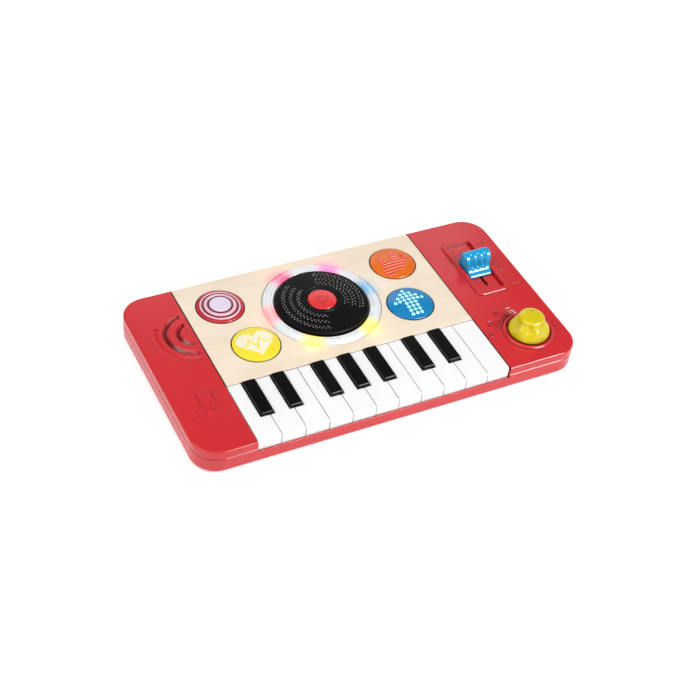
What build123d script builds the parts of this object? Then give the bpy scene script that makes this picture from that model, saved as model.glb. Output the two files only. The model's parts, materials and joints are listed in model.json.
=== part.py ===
"""Toy electronic keyboard, in millimetres.

Origin: middle of the plan, on the surface that the feet stand on. +X runs along the keys towards the
high notes, +Y away from the player, +Z up.
"""

from math import cos, radians, sin, sqrt, tan
import os

from build123d import *

# ---------------------------------------------------------------- driving dimensions
LENGTH = 353.0  # over both caps
DEPTH = 189.4
CORNER_R = 22.0
FOOT_H = 1.6
BODY_H = 22.7
WALL = 2.4
FLOOR_T = 2.2
CAP_T = 2.6  # top plate of the two caps
TOP_EDGE_R = 1.5
BOTTOM_EDGE_R = 3.0
PARTING_CHAMFER = 0.5
LEFT_CAP = 49.2
KEY_PITCH = 21.0
WHITE_NOTES = ["c1", "d1", "e1", "f1", "g1", "a1", "b1", "c2", "d2", "e2", "f2"]
# note: (gap between white keys that it stands over, offset from that gap)
BLACK_NOTES = {
    "cs1": (1, -2.2),
    "ds1": (2, 2.2),
    "fs1": (4, -3.4),
    "gs1": (5, 0.0),
    "as1": (6, 3.4),
    "cs2": (8, -2.2),
    "ds2": (9, 2.2),
}
FIT = 0.05  # radial clearance of a running fit
SEAM = 0.35  # extra width of the bays on each side of the wood and the keys
SEAM_CHAMFER = 0.4

# ---------------------------------------------------------------- levels and edges
TOP = FOOT_H + BODY_H
PARTING = TOP - 7.9
LIP = TOP - 10.9  # top of the low front wall in front of the keys
FLOOR = FOOT_H + FLOOR_T
WOOD_T = 4.0
DECK = TOP - WOOD_T  # upper face of the deck that carries the wood
DECK_T = 2.5
UNDER_DECK = DECK - DECK_T
DECK_X0 = -LENGTH / 2 + LEFT_CAP
DECK_X1 = DECK_X0 + KEY_PITCH * len(WHITE_NOTES)
MID_X = (DECK_X0 + DECK_X1) / 2
BAY_X = (DECK_X0 - SEAM, DECK_X1 + SEAM)
BAY_WALL = 2.6  # walls beside the keys
WOOD_FRONT = -29.1
FRONT = -DEPTH / 2
BACK = DEPTH / 2

# ---------------------------------------------------------------- keys
KEY_TOP = TOP - 0.5
KEY_BOTTOM = 11.0
KEY_FRONT = FRONT + 2.0
KEY_BACK = WOOD_FRONT - 0.6
KEY_GAP = 0.5
KEY_WALL = 1.4
KEY_T = 2.2
KEY_PRESS = 2.3  # degrees of key travel
ROD_R = 1.5
ROD_Y = -20.0
ROD_Z = 13.0
TAIL_BOTTOM = 10.0
TAIL_TOP = 16.6
TAIL_BACK = ROD_Y + 3.5
WHITE_TAIL_W = 6.8
BLACK_TAIL_W = 5.0
BLACK_W = 11.8
BLACK_TOP_W = 10.9
BLACK_CORNER = 1.2
BLACK_ROUND = 0.9
BLACK_LEAN = 0.8  # how far the front face leans back
BLACK_FRONT = -69.5
BLACK_BACK = KEY_BACK - 0.4
BLACK_H = 2.8
NOTCH_W = BLACK_W + 1.0
WHITE_DOME_Y = -76.0
BLACK_DOME_Y = -60.0
DOME_TOP = 9.3
ROD_GAPS = [3, 7, 10]  # gaps with no black key, where the rod has a support

# ---------------------------------------------------------------- deck controls
BUTTON_HOLE_R = 20.95
BUTTON_R = 20.3
BUTTON_EDGE = TOP + 1.0
BUTTON_CROWN = TOP + 3.6
BUTTON_TRAVEL = 1.8
BUTTONS = {
    "target_button": (MID_X - 83.5, 60.7),
    "crown_button": (MID_X + 83.5, 60.7),
    "heart_button": (MID_X - 73.3, 7.3),
    "arrow_button": (MID_X + 73.3, 7.3),
}
STEM_R = 3.0
HOOK_R = 14.0
HOOK_W = 3.0
HOOK_T = 1.6
HOOK_TURNS = (90, 210, 330)  # degrees
SWITCH_TOP = 13.6  # plunger of a push switch
DISC = (MID_X, 33.7)
DISC_R = 40.6
DISC_EDGE = TOP + 3.6
DISC_SHOULDER = TOP + 6.0
RING_IN = 41.5
RING_OUT = 51.8
RING_TOP = TOP + 2.2
RING_HOLE_R = 52.0
SPINDLE_R = 9.0
CENTRE_R = 12.5
CENTRE_TOP = TOP + 6.6
CENTRE_TRAVEL = 1.2
LED_R = (RING_IN + RING_OUT) / 2
LED_ANGLES = [175 - 60 * i for i in range(6)]
LED_BODY_R = 2.5
PEG_ANGLES = (25, 145, 265)  # pegs that carry the light board

# ---------------------------------------------------------------- right cap controls
SLIDER = (140.3, 30.8)
RECESS = (25.0, 66.0)
RECESS_DEPTH = 1.8
FRAME_W = 4.0
FRAME_H = 1.8
FRAME_ROUND = 1.75
SCALE_PITCH = 9.9
SCALE_LONG = 12.0
SCALE_SHORT = 9.0
SLOT = (3.2, 48.0)
CAP_W = 22.5
CAP_LIFT = 0.3  # gap under the slider cap
KNOB = (142.2, -59.7)
KNOB_R = 17.8
KNOB_TOP_R = 11.4
KNOB_TOP = TOP + 18.6
KNOB_FLUTES = 6
FLUTE_TURN = -6  # degrees
POINTER_TURN = 66  # degrees
COLLAR_R = 21.0
COLLAR_BEAD_R = 1.9
SELECTOR_R = 27.5
SELECTOR_TURNS = (-3, 33, 69, 105, 141, 177)  # degrees
SHAFT_R = 3.0

# ---------------------------------------------------------------- inside and underneath
BOSS_TOP = 12.0
BOSS_R = 4.0
SCREW_HEAD_R = 3.0
SCREW_R = 1.5
SCREWS = [
    (-160, 78),
    (-142, -86.5),
    (162, 80),
    (160, -82),
    (-118, 84),
    (94, 84),
    (-60, -10),
    (36, -10),
]
WOOD_SCREWS = [(-120, 30), (96, 30), (-62, 88), (38, 88), (-112, -8), (88, -8)]
FEET = [(-118, -80), (-150, 64), (150, -62), (150, 58), (MID_X, -80), (MID_X, 80)]
FOOT_R = 6.0
CELL_R = 5.25
CELL_L = 44.5
CELL_PITCH = 10.9
BATTERY_X = -151.3
BOX_X = (BATTERY_X - 16.6, BATTERY_X + 16.6)
BOX_Y = (-75.0, -23.0)
BOX_TOP = 16.2
DOOR_T = 1.15
DOOR_Y = (-77.5, -13.0)
DOOR_X = (BOX_X[0] - 2.0, BOX_X[1] + 2.0)
SPEAKER = (-152.0, 32.0)
SPEAKER_R = 20.0
POWER = (130.0, 75.0)
POWER_POCKET = (30.0, 16.0)
POWER_ROOF = 4.6
BOARD_Z = 7.0
BOARD_T = 1.6
BOARD_POST_R = 2.5
BOARD_POSTS = [(-100, 2), (-100, 71), (78, 2), (78, 71)]
KEY_BOARD_Z = 5.4
KEY_BOARD_POSTS = [(DECK_X0 + 8, -57), (MID_X + 10.5, -68), (DECK_X1 - 8, -57)]
ARCS = (DECK_X0 - 2.0, 38.5)  # centre of the sound arcs
# sound arcs: (radius, half of the width, depth, how far they reach behind the centre)
SOUND_ARCS = [(12.2, 2.3, 1.9, 40), (23.0, 2.7, 1.9, 40), (31.0, 2.8, 0.8, 15)]
NOTE = (-150, -40)
NOTE_STEM_W = 1.8


# ---------------------------------------------------------------- helpers
def slab(x, y, z):
    """A box between two X, two Y and two Z values."""
    size = [x[1] - x[0], y[1] - y[0], z[1] - z[0]]
    return Pos((x[0] + x[1]) / 2, (y[0] + y[1]) / 2, (z[0] + z[1]) / 2) * Box(*size)


def rod(at, radius, z):
    """An upright cylinder between two Z values."""
    return Pos(at[0], at[1], (z[0] + z[1]) / 2) * Cylinder(radius, z[1] - z[0])


def tube(at, outer, inner, z):
    return rod(at, outer, z) - rod(at, inner, (z[0] - 1, z[1] + 1))


def plate(width, depth, radius, z, at=(0, 0)):
    """A rounded rectangle extruded between two Z values."""
    face = Pos(at[0], at[1], z[0]) * RectangleRounded(width, depth, radius)
    return extrude(face, z[1] - z[0])


def spin(at, points):
    """Turns a closed (radius, z) outline about the upright line through a point."""
    face = make_face(Plane.XZ * Polyline(*points, close=True))
    return Pos(at[0], at[1], 0) * revolve(face, Axis.Z)


def dome(at, radius, edge, crown, thick, corner, bottom):
    """A round cap, open below: crowned top, rounded rim, straight skirt."""
    rim = radius - corner
    nose = Plane.XZ * ThreePointArc((0, crown), (rim * 0.55, edge + (crown - edge) * 0.7), (rim, edge))
    bend = corner * (1 - sqrt(0.5))
    turn = Plane.XZ * ThreePointArc((rim, edge), (radius - bend, edge - bend), (radius, edge - corner))
    skirt = Plane.XZ * Polyline(
        (radius, edge - corner),
        (radius, bottom),
        (radius - thick, bottom),
        (radius - thick, edge - thick - corner / 2),
        (rim * 0.55, edge + (crown - edge) * 0.7 - thick),
        (0, crown - thick),
        (0, crown),
    )
    face = make_face(nose + turn + skirt)
    return Pos(at[0], at[1], 0) * revolve(face, Axis.Z)


def inset(by, z):
    """The plan of the housing, moved in from its outer face, between two Z values."""
    return plate(LENGTH - 2 * by, DEPTH - 2 * by, CORNER_R - by, z)


def around(at, radius, degrees):
    return (at[0] + radius * cos(radians(degrees)), at[1] + radius * sin(radians(degrees)))


def gap_x(gap):
    """The X of a gap between white keys, counted from the left seam."""
    return DECK_X0 + KEY_PITCH * gap


def black_x(note):
    gap, offset = BLACK_NOTES[note]
    return gap_x(gap) + offset


def merge(first, others):
    for other in others:
        first += other
    return first


# ---------------------------------------------------------------- housing
def bottom_shell():
    shell = inset(0, (FOOT_H, PARTING))
    shell = fillet(shell.faces().sort_by(Axis.Z)[0].edges(), BOTTOM_EDGE_R)
    shell = chamfer(shell.faces().sort_by(Axis.Z)[-1].edges(), PARTING_CHAMFER)
    shell -= inset(WALL, (FLOOR, TOP))
    shell -= slab(BAY_X, (FRONT - 1, FRONT + WALL + 1), (LIP, TOP))
    shell -= slab(BAY_X, (FRONT + 1.6, FRONT + WALL + 1), (KEY_BOTTOM - 3.5, TOP))

    # walls beside the key bay, with the ends of the key rod
    bay_y = (FRONT + WALL - 0.1, ROD_Y + 6)
    for x in ((DECK_X0 - BAY_WALL, BAY_X[0]), (BAY_X[1], DECK_X1 + BAY_WALL)):
        shell += slab(x, bay_y, (FLOOR - 0.1, PARTING - 0.2))
    for gap in ROD_GAPS:
        x = gap_x(gap)
        shell += slab((x - 1.4, x + 1.4), (ROD_Y - 4, ROD_Y + 6), (FLOOR - 0.1, ROD_Z + 2.6))
    shell -= rod_bore(ROD_R + FIT)

    # screw columns, open below for the screw heads
    for at in SCREWS:
        shell += rod(at, BOSS_R, (FLOOR - 0.1, BOSS_TOP))
    for at in SCREWS:
        shell -= rod(at, SCREW_HEAD_R + 0.3, (0, BOSS_TOP - 5))
        shell -= rod(at, SCREW_R + 0.2, (0, BOSS_TOP + 1))

    # battery box, door rebate and the door's screw post
    wall = 1.5
    outer = slab(
        (BOX_X[0] - wall, BOX_X[1] + wall), (BOX_Y[0] - wall, BOX_Y[1] + wall), (FLOOR - 0.1, BOX_TOP)
    )
    post = (BATTERY_X, BOX_Y[1] + 5.5)
    shell += outer
    shell += rod(post, 3.2, (FLOOR - 0.1, 11))
    shell -= slab(BOX_X, BOX_Y, (0, BOX_TOP - 1.2))
    shell -= slab(DOOR_X, DOOR_Y, (0, FOOT_H + DOOR_T + 0.05))
    shell -= rod(post, SCREW_R, (0, 10))

    # sound slots under the loudspeaker, and the ring that holds it
    shell += tube(SPEAKER, SPEAKER_R + 2, SPEAKER_R + 0.2, (FLOOR - 0.1, 7))
    for step in range(-2, 3):
        y = SPEAKER[1] + 5.6 * step
        half = sqrt(15.5**2 - (5.6 * step) ** 2)
        shell -= plate(2 * half, 2.4, 1.15, (0, FLOOR + 1), (SPEAKER[0], y))

    # sunk pocket for the power switch
    wide, deep = POWER_POCKET
    shell += plate(wide + 3, deep + 3, 4.5, (FLOOR - 0.1, POWER_ROOF + 1.6), POWER)
    shell -= plate(wide, deep, 3, (0, POWER_ROOF), POWER)
    shell -= slab((POWER[0] - 7, POWER[0] + 7), (POWER[1] - 2, POWER[1] + 2), (0, 9))

    # posts for the main board and the key board
    for at in BOARD_POSTS:
        shell += rod(at, BOARD_POST_R, (FLOOR - 0.1, BOARD_Z))
    for at in KEY_BOARD_POSTS:
        shell += rod(at, BOARD_POST_R, (FLOOR - 0.1, KEY_BOARD_Z))
    return shell


def rod_bore(radius):
    length = DECK_X1 - DECK_X0 + 2 * BAY_WALL - 1.2
    return Pos(MID_X, ROD_Y, ROD_Z) * Rot(0, 90, 0) * Cylinder(radius, length)


def top_shell():
    shell = inset(0, (PARTING, TOP))
    shell = fillet(shell.faces().sort_by(Axis.Z)[-1].edges(), TOP_EDGE_R)
    shell = chamfer(shell.faces().sort_by(Axis.Z)[0].edges(), PARTING_CHAMFER)
    hollow = inset(WALL, (PARTING - 1, TOP - CAP_T))
    shell -= hollow & slab((-LENGTH, DECK_X0 - BAY_WALL), (-DEPTH, DEPTH), (0, TOP))
    shell -= hollow & slab((DECK_X1 + BAY_WALL, LENGTH), (-DEPTH, DEPTH), (0, TOP))
    shell -= inset(WALL, (PARTING - 1, UNDER_DECK)) & slab(BAY_X, (-DEPTH, DEPTH), (0, TOP))
    shell -= slab(BAY_X, (WOOD_FRONT, DEPTH), (DECK, TOP + 1))
    shell -= slab(BAY_X, (-DEPTH, WOOD_FRONT), (0, TOP + 1))
    for x, side in zip(BAY_X, (-1, 1)):
        shell -= seam_chamfer(x, side)

    # tongue that locates the two shells, left out where the keys come through
    tongue = inset(WALL + FIT, (PARTING - 2, PARTING)) - inset(WALL + 1.3, (0, TOP))
    tongue += inset(WALL - 0.1, (PARTING, PARTING + 1)) - inset(WALL + 1.3, (0, TOP))
    tongue -= slab((DECK_X0 - 3, DECK_X1 + 3), (-DEPTH, 0), (0, TOP))
    shell += tongue

    # screw posts
    for at in SCREWS:
        roof = UNDER_DECK if DECK_X0 < at[0] < DECK_X1 else TOP - CAP_T
        shell += rod(at, BOSS_R, (BOSS_TOP + 0.05, roof + 0.1))
    for at in SCREWS:
        shell -= rod(at, SCREW_R + FIT, (0, BOSS_TOP + 5.2))
    for at in WOOD_SCREWS:
        shell -= rod(at, 1.2, (0, DECK + 1))

    # openings in the deck for the buttons, the spindle and the lights
    for at in BUTTONS.values():
        shell -= rod(at, STEM_R + 0.8, (0, DECK + 1))
        for turn in HOOK_TURNS:
            shell -= hook_window(at, turn)
    shell -= rod(DISC, SPINDLE_R - 1, (0, DECK + 1))
    for angle in LED_ANGLES:
        shell -= rod(around(DISC, LED_R, angle), 3.4, (0, DECK + 1))
    for angle in PEG_ANGLES:
        shell += rod(around(DISC, LED_R - 0.4, angle), 2.0, (13.9, UNDER_DECK + 0.1))

    shell = right_cap_details(shell)
    return left_cap_details(shell)


def seam_chamfer(x, side):
    """A three-sided bar that takes the sharp edge off a cap along its seam."""
    corner = Polyline(
        (x - side, TOP + 1),
        (x - side, TOP - SEAM_CHAMFER - 1),
        (x, TOP - SEAM_CHAMFER),
        (x + side * SEAM_CHAMFER, TOP),
        (x + side * SEAM_CHAMFER, TOP + 1),
        close=True,
    )
    return Pos(0, DEPTH, 0) * extrude(Plane.XZ * make_face(corner), 2 * DEPTH)


def hook_window(at, turn):
    x, y = around(at, HOOK_R + 0.8, turn)
    return Pos(x, y, DECK - 1) * Rot(0, 0, turn) * Box(4.6, HOOK_W + 1, 6)


def right_cap_details(shell):
    # raised frame and sunk bed of the slider
    wide, deep = (side + 2 * FRAME_W for side in RECESS)
    frame = plate(wide, deep, 2.5 + FRAME_W, (TOP - 0.1, TOP + FRAME_H), SLIDER)
    frame = fillet(frame.faces().sort_by(Axis.Z)[-1].edges(), FRAME_ROUND)
    shell += frame
    shell += plate(RECESS[0] + 4, RECESS[1] + 4, 5, (TOP - CAP_T - 1.4, TOP - 1), SLIDER)
    shell -= plate(*RECESS, 2.5, (TOP - RECESS_DEPTH, TOP + 5), SLIDER)
    shell -= plate(*SLOT, SLOT[0] / 2 - 0.01, (TOP - 9, TOP), SLIDER)

    # scale beside the slider, long marks at both ends
    x0 = SLIDER[0] + RECESS[0] / 2 + FRAME_W + 2.5
    for step in range(-3, 4):
        length = SCALE_LONG if abs(step) == 3 else SCALE_SHORT
        y = SLIDER[1] - 1 + SCALE_PITCH * step
        shell += plate(length, 1.4, 0.6, (TOP - 0.1, TOP + 0.5), (x0 + length / 2, y))

    # raised collar of the knob, and the hole of its shaft
    ring = Pos(KNOB[0], KNOB[1], TOP) * Torus(COLLAR_R, COLLAR_BEAD_R)
    ring &= rod(KNOB, COLLAR_R + 4, (TOP - 0.5, TOP + 3))
    shell += ring
    shell -= rod(KNOB, 4.2, (0, TOP + 1))

    # selector marks round the knob
    for angle in SELECTOR_TURNS:
        shell += rod(around(KNOB, SELECTOR_R, angle), 1.3, (TOP - 0.1, TOP + 0.45))
    return shell


def left_cap_details(shell):
    # engraved sound arcs, which stop short of the seam
    for radius, half, depth, reach in SOUND_ARCS:
        keep = slab((-LENGTH, DECK_X0 - 5.5), (-DEPTH, ARCS[1] + reach), (0, 2 * TOP))
        outline = [
            (radius - half, TOP + 1),
            (radius + half, TOP + 1),
            (radius + half, TOP),
            (radius + half * 0.8, TOP - depth * 0.6),
            (radius + half * 0.5, TOP - depth),
            (radius + half * 0.1, TOP - depth),
            (radius - half * 0.5, TOP - depth * 0.55),
            (radius - half, TOP),
        ]
        shell -= spin(ARCS, outline) & keep

    # a pair of joined quavers, raised
    note = Pos(*NOTE)
    marks = [
        note * Pos(-6.5, -9) * Rot(0, 0, 20) * Ellipse(4.4, 3.2),
        note * Pos(6.5, -6) * Rot(0, 0, 20) * Ellipse(4.4, 3.2),
        note * Pos(-3.1, 0.5) * Rectangle(NOTE_STEM_W, 19),
        note * Pos(9.9, 3.5) * Rectangle(NOTE_STEM_W, 19),
        note * make_face(Polyline((-4.2, 8.6), (-4.2, 12.2), (11, 15.7), (11, 12.1), close=True)),
    ]
    face = merge(marks[0], marks[1:])
    return shell + extrude(Pos(0, 0, TOP - 0.1) * face, 0.6)


def wood_panel():
    panel = slab((DECK_X0 + 0.1, DECK_X1 - 0.1), (WOOD_FRONT, BACK - 0.3), (DECK, TOP))
    for at in BUTTONS.values():
        panel -= rod(at, BUTTON_HOLE_R, (DECK - 1, TOP + 1))
    panel -= rod(DISC, RING_HOLE_R, (DECK - 1, TOP + 1))
    panel = chamfer(panel.faces().sort_by(Axis.Z)[-1].edges(), 0.3)
    for at in WOOD_SCREWS:
        panel -= rod(at, 1.2, (DECK - 1, TOP - 1.2))
    return panel


def light_ring():
    half = (RING_OUT - RING_IN) / 2
    shoulder = TOP - 0.6
    legs = Plane.XZ * Polyline(
        (RING_IN, shoulder), (RING_IN, DECK), (RING_OUT, DECK), (RING_OUT, shoulder)
    )
    crown = Plane.XZ * ThreePointArc(
        (RING_IN, shoulder), (RING_IN + half, RING_TOP), (RING_OUT, shoulder)
    )
    face = make_face(legs + crown)
    return Pos(DISC[0], DISC[1], 0) * revolve(face, Axis.Z)


# ---------------------------------------------------------------- keys
def narrow_part(index):
    """The X range that a white key keeps beside its black neighbours."""
    low = gap_x(index) + KEY_GAP / 2
    high = gap_x(index + 1) - KEY_GAP / 2
    for note, (gap, _) in BLACK_NOTES.items():
        if gap == index:
            low = max(low, black_x(note) + NOTCH_W / 2)
        if gap == index + 1:
            high = min(high, black_x(note) - NOTCH_W / 2)
    return low, high


def key_tail(x, width):
    tail = slab((x - width / 2, x + width / 2), (KEY_BACK - 2.4, TAIL_BACK), (TAIL_BOTTOM, TAIL_TOP))
    bore = Pos(x, ROD_Y, ROD_Z) * Rot(0, 90, 0) * Cylinder(ROD_R + FIT, width + 2)
    return tail - bore


def plunger(x, y, bottom, top):
    return slab((x - 2.2, x + 2.2), (y - 2.2, y + 2.2), (bottom, top))


def press_at(y):
    """How far a point of a key at this Y sinks when the key is down."""
    return (ROD_Y - y) * tan(radians(KEY_PRESS))


def white_key(index):
    low = gap_x(index) + KEY_GAP / 2
    high = gap_x(index + 1) - KEY_GAP / 2
    centre = Pos((low + high) / 2, (KEY_FRONT + KEY_BACK) / 2)
    plan = centre * Rectangle(high - low, KEY_BACK - KEY_FRONT)
    left, right = narrow_part(index)
    notch_front = BLACK_FRONT - 0.5
    length = KEY_BACK - notch_front + 2
    if left > low + 1:
        plan -= Pos(left - 20, notch_front + length / 2) * Rectangle(40, length)
    if right < high - 1:
        plan -= Pos(right + 20, notch_front + length / 2) * Rectangle(40, length)
    key = extrude(Pos(0, 0, KEY_BOTTOM) * plan, KEY_TOP - KEY_BOTTOM)
    top_edges = key.faces().sort_by(Axis.Z)[-1].edges()
    front_edge = top_edges.sort_by(Axis.Y)[0]
    key = fillet([front_edge], 2.0)
    key = fillet(key.faces().sort_by(Axis.Z)[-1].edges().filter_by(Axis.Y), 0.5)
    inside = offset(plan, -KEY_WALL, kind=Kind.INTERSECTION)
    key -= extrude(Pos(0, 0, KEY_BOTTOM - 1) * inside, KEY_TOP - KEY_T - KEY_BOTTOM + 1)
    middle = (left + right) / 2
    key += key_tail(middle, WHITE_TAIL_W)
    bottom = DOME_TOP + press_at(WHITE_DOME_Y) + 0.2
    return key + plunger((low + high) / 2, WHITE_DOME_Y, bottom, KEY_TOP - KEY_T + 0.1)


def black_key(note):
    x = black_x(note)
    middle = (BLACK_FRONT + BLACK_BACK) / 2
    length = BLACK_BACK - BLACK_FRONT
    top_middle = middle + BLACK_LEAN / 2
    base = Pos(x, middle, KEY_BOTTOM) * RectangleRounded(BLACK_W, length, BLACK_CORNER)
    level = KEY_TOP - 1
    key = extrude(base, level - KEY_BOTTOM)
    cap = loft(
        [
            Pos(x, middle, level) * RectangleRounded(BLACK_W, length, BLACK_CORNER),
            Pos(x, top_middle, KEY_TOP + BLACK_H)
            * RectangleRounded(BLACK_TOP_W, length - BLACK_LEAN, BLACK_CORNER),
        ]
    )
    cap = fillet(cap.faces().sort_by(Axis.Z)[-1].edges(), BLACK_ROUND)
    key += cap
    key -= slab(
        (x - BLACK_W / 2 + KEY_WALL, x + BLACK_W / 2 - KEY_WALL),
        (BLACK_FRONT + KEY_WALL, BLACK_BACK - KEY_WALL),
        (0, KEY_TOP),
    )
    key += key_tail(x, BLACK_TAIL_W)
    bottom = DOME_TOP + press_at(BLACK_DOME_Y) + 0.2
    return key + plunger(x, BLACK_DOME_Y, bottom, KEY_TOP + 0.1)


def white_middle(index):
    return gap_x(index) + KEY_PITCH / 2


def dome_places():
    places = [(white_middle(i), WHITE_DOME_Y) for i in range(len(WHITE_NOTES))]
    return places + [(black_x(note), BLACK_DOME_Y) for note in BLACK_NOTES]


def key_contact_board():
    top = KEY_BOARD_Z + 1.2
    board = slab((DECK_X0 + 2, DECK_X1 - 2), (-84, -52), (KEY_BOARD_Z, top))
    pads = [rod(at, 2.6, (top, top + 0.05)) for at in dome_places()]
    return merge(board, pads)


def key_rubber_strip():
    low = KEY_BOARD_Z + 1.3
    strip = slab((DECK_X0 + 3, DECK_X1 - 3), (-83, -53), (low, low + 0.8))
    cone_h = DOME_TOP - low - 0.7
    middle = DOME_TOP - cone_h / 2
    domes = [Pos(x, y, middle) * Cone(4.4, 3.4, cone_h) for x, y in dome_places()]
    return merge(strip, domes)


def key_stop_strip():
    top = KEY_BOTTOM - press_at(FRONT + 3.2) - 0.1
    return slab((DECK_X0 + 2, DECK_X1 - 2), (FRONT + 3.2, FRONT + 9), (FLOOR, top))


# ---------------------------------------------------------------- deck controls
def round_button(at):
    cap = dome(at, BUTTON_R, BUTTON_EDGE, BUTTON_CROWN, 2.0, 0.8, DECK + BUTTON_TRAVEL + 0.5)
    cap += rod(at, STEM_R, (SWITCH_TOP + BUTTON_TRAVEL + 0.2, BUTTON_CROWN - 1.6))
    width = (-HOOK_W / 2, HOOK_W / 2)
    low = UNDER_DECK - 1.6
    for turn in HOOK_TURNS:
        x, y = around(at, HOOK_R, turn)
        leg = slab((-HOOK_T / 2, HOOK_T / 2), width, (low, BUTTON_EDGE - 0.2))
        barb = slab((0, HOOK_T / 2 + 0.9), width, (low, UNDER_DECK - 0.2))
        cap += Pos(x, y, 0) * Rot(0, 0, turn) * (leg + barb)
    return cap


def scratch_disc():
    skin = 2.0
    rim = DISC_R - 1.6
    crown = Plane.XZ * ThreePointArc((rim, DISC_EDGE), (27.0, DISC_EDGE + 1.55), (16.6, DISC_SHOULDER))
    rest = Plane.XZ * Polyline(
        (16.6, DISC_SHOULDER),
        (16.2, DISC_SHOULDER - 0.5),
        (15.6, DISC_SHOULDER - 0.5),
        (15.2, DISC_SHOULDER),
        (CENTRE_R + 0.9, DISC_SHOULDER),
        (CENTRE_R + 0.4, DISC_SHOULDER - 0.5),
        (CENTRE_R + 0.4, DECK + 5.7),
        (SPINDLE_R + FIT, DECK + 5.7),
        (SPINDLE_R + FIT, DECK + 1.3),
        (SPINDLE_R + 2.6, DECK + 1.3),
        (SPINDLE_R + 2.6, DECK + 3.7),
        (CENTRE_R + 2.4, DECK + 3.7),
        (CENTRE_R + 2.4, DISC_SHOULDER - skin - 0.5),
        (25.0, DISC_EDGE + 1.7 - skin),
        (DISC_R - skin, DISC_EDGE - skin),
        (DISC_R - skin, DECK + 1),
        (DISC_R, DECK + 1),
        (DISC_R, DISC_EDGE - 1.6),
    )
    edge = Plane.XZ * ThreePointArc(
        (DISC_R, DISC_EDGE - 1.6), (DISC_R - 0.47, DISC_EDGE - 0.47), (rim, DISC_EDGE)
    )
    body = Pos(DISC[0], DISC[1], 0) * revolve(make_face(crown + rest + edge), Axis.Z)
    # boss that the wiper is heat-staked to
    return body + rod((DISC[0] + 24, DISC[1]), 3.0, (DECK + 4.8, DISC_EDGE + 0.4))


def disc_wiper():
    x = DISC[0] + 24
    y = DISC[1]
    wiper = slab((x - 8, x + 8), (y - 4, y + 4), (DECK + 4.4, DECK + 4.8))
    for step in (-1, 0, 1):
        finger = Pos(x + 6 * step, y - 7.2, DECK + 3.1) * Rot(20, 0, 0) * Box(2.4, 7.6, 0.3)
        wiper += finger
    return wiper


def disc_track_board():
    return tube(DISC, 36, 15, (DECK, DECK + 1))


def disc_spindle():
    body = tube(DISC, 13, 5.2, (DECK, DECK + 1)) + tube(DISC, SPINDLE_R, 5.2, (DECK + 0.9, DECK + 7.2))
    return body - tube(DISC, SPINDLE_R + 1, SPINDLE_R - 0.6, (DECK + 5.9, DECK + 6.7))


def disc_clip():
    ring = tube(DISC, 10.8, SPINDLE_R - 0.55, (DECK + 5.95, DECK + 6.65))
    return ring - slab((DISC[0] - 3, DISC[0] + 3), (DISC[1] - 12, DISC[1]), (DECK, TOP + 9))


def centre_button():
    cap = dome(DISC, CENTRE_R, CENTRE_TOP - 0.7, CENTRE_TOP, 1.3, 0.7, DECK + 7.3)
    return cap + rod(DISC, 4.4, (SWITCH_TOP + CENTRE_TRAVEL + 0.2, CENTRE_TOP - 1))


def led_board():
    return tube(DISC, 49.8, 42.6, (12.6, 13.8))


def leds():
    group = []
    for angle in LED_ANGLES:
        x, y = around(DISC, LED_R, angle)
        group.append(rod((x, y), LED_BODY_R, (13.8, 17.4)) + Pos(x, y, 17.4) * Sphere(LED_BODY_R))
    return Compound(children=group)


# ---------------------------------------------------------------- right cap controls
def slider_cap():
    x, y = SLIDER
    half = CAP_W / 2
    profile = Plane.YZ.offset(-half) * make_face(
        Polyline(
            (-11.5, 0.0),
            (-11.5, 2.2),
            (-9.9, 2.6),
            (-9.6, 5.0),
            (-7.4, 5.8),
            (-4.9, 8.8),
            (-3.2, 12.8),
            (-1.8, 17.4),
            (1.0, 18.8),
            (7.6, 18.8),
            (9.6, 17.0),
            (9.6, 12.0),
            (10.2, 7.0),
            (11.5, 4.4),
            (11.5, 0.0),
            close=True,
        )
    )
    base = TOP - RECESS_DEPTH + CAP_LIFT
    cap = extrude(profile, CAP_W)
    ends = cap.faces().sort_by(Axis.X)
    cap = fillet(ends[0].edges() + ends[-1].edges(), 0.6)
    # finger flutes down the front of the ridge
    for step in range(-2, 2):
        cap -= Pos(5.0 * (step + 0.5), -7.4, 14.5) * Rot(-14, 0, 0) * Cylinder(2.0, 16)
    cap -= slab((-half + 2, half - 2), (-9.0, 9.5), (-1, 2.4))
    cap = Pos(x, y, base) * cap
    cap += slab((x - 1.3, x + 1.3), (y - 3, y + 3), (17.6, base + 3))
    return cap - slab((x - 0.65, x + 0.65), (y - 2.05, y + 2.05), (0, 20.6))


def slider_lever():
    x, y = SLIDER
    lever = slab((x - 0.6, x + 0.6), (y - 2, y + 2), (11, 20.5))
    return lever + slab((x - 2.4, x + 2.4), (y - 4, y + 4), (10.4, 11.4))


def slider_pot():
    x, y = SLIDER
    body = slab((x - 4.5, x + 4.5), (y - 31, y + 31), (9, 16.5))
    body -= slab((x - 2.8, x + 2.8), (y - 27, y + 27), (10, 12.2))
    return body - slab((x - 1, x + 1), (y - 25, y + 25), (12, 17))


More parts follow.
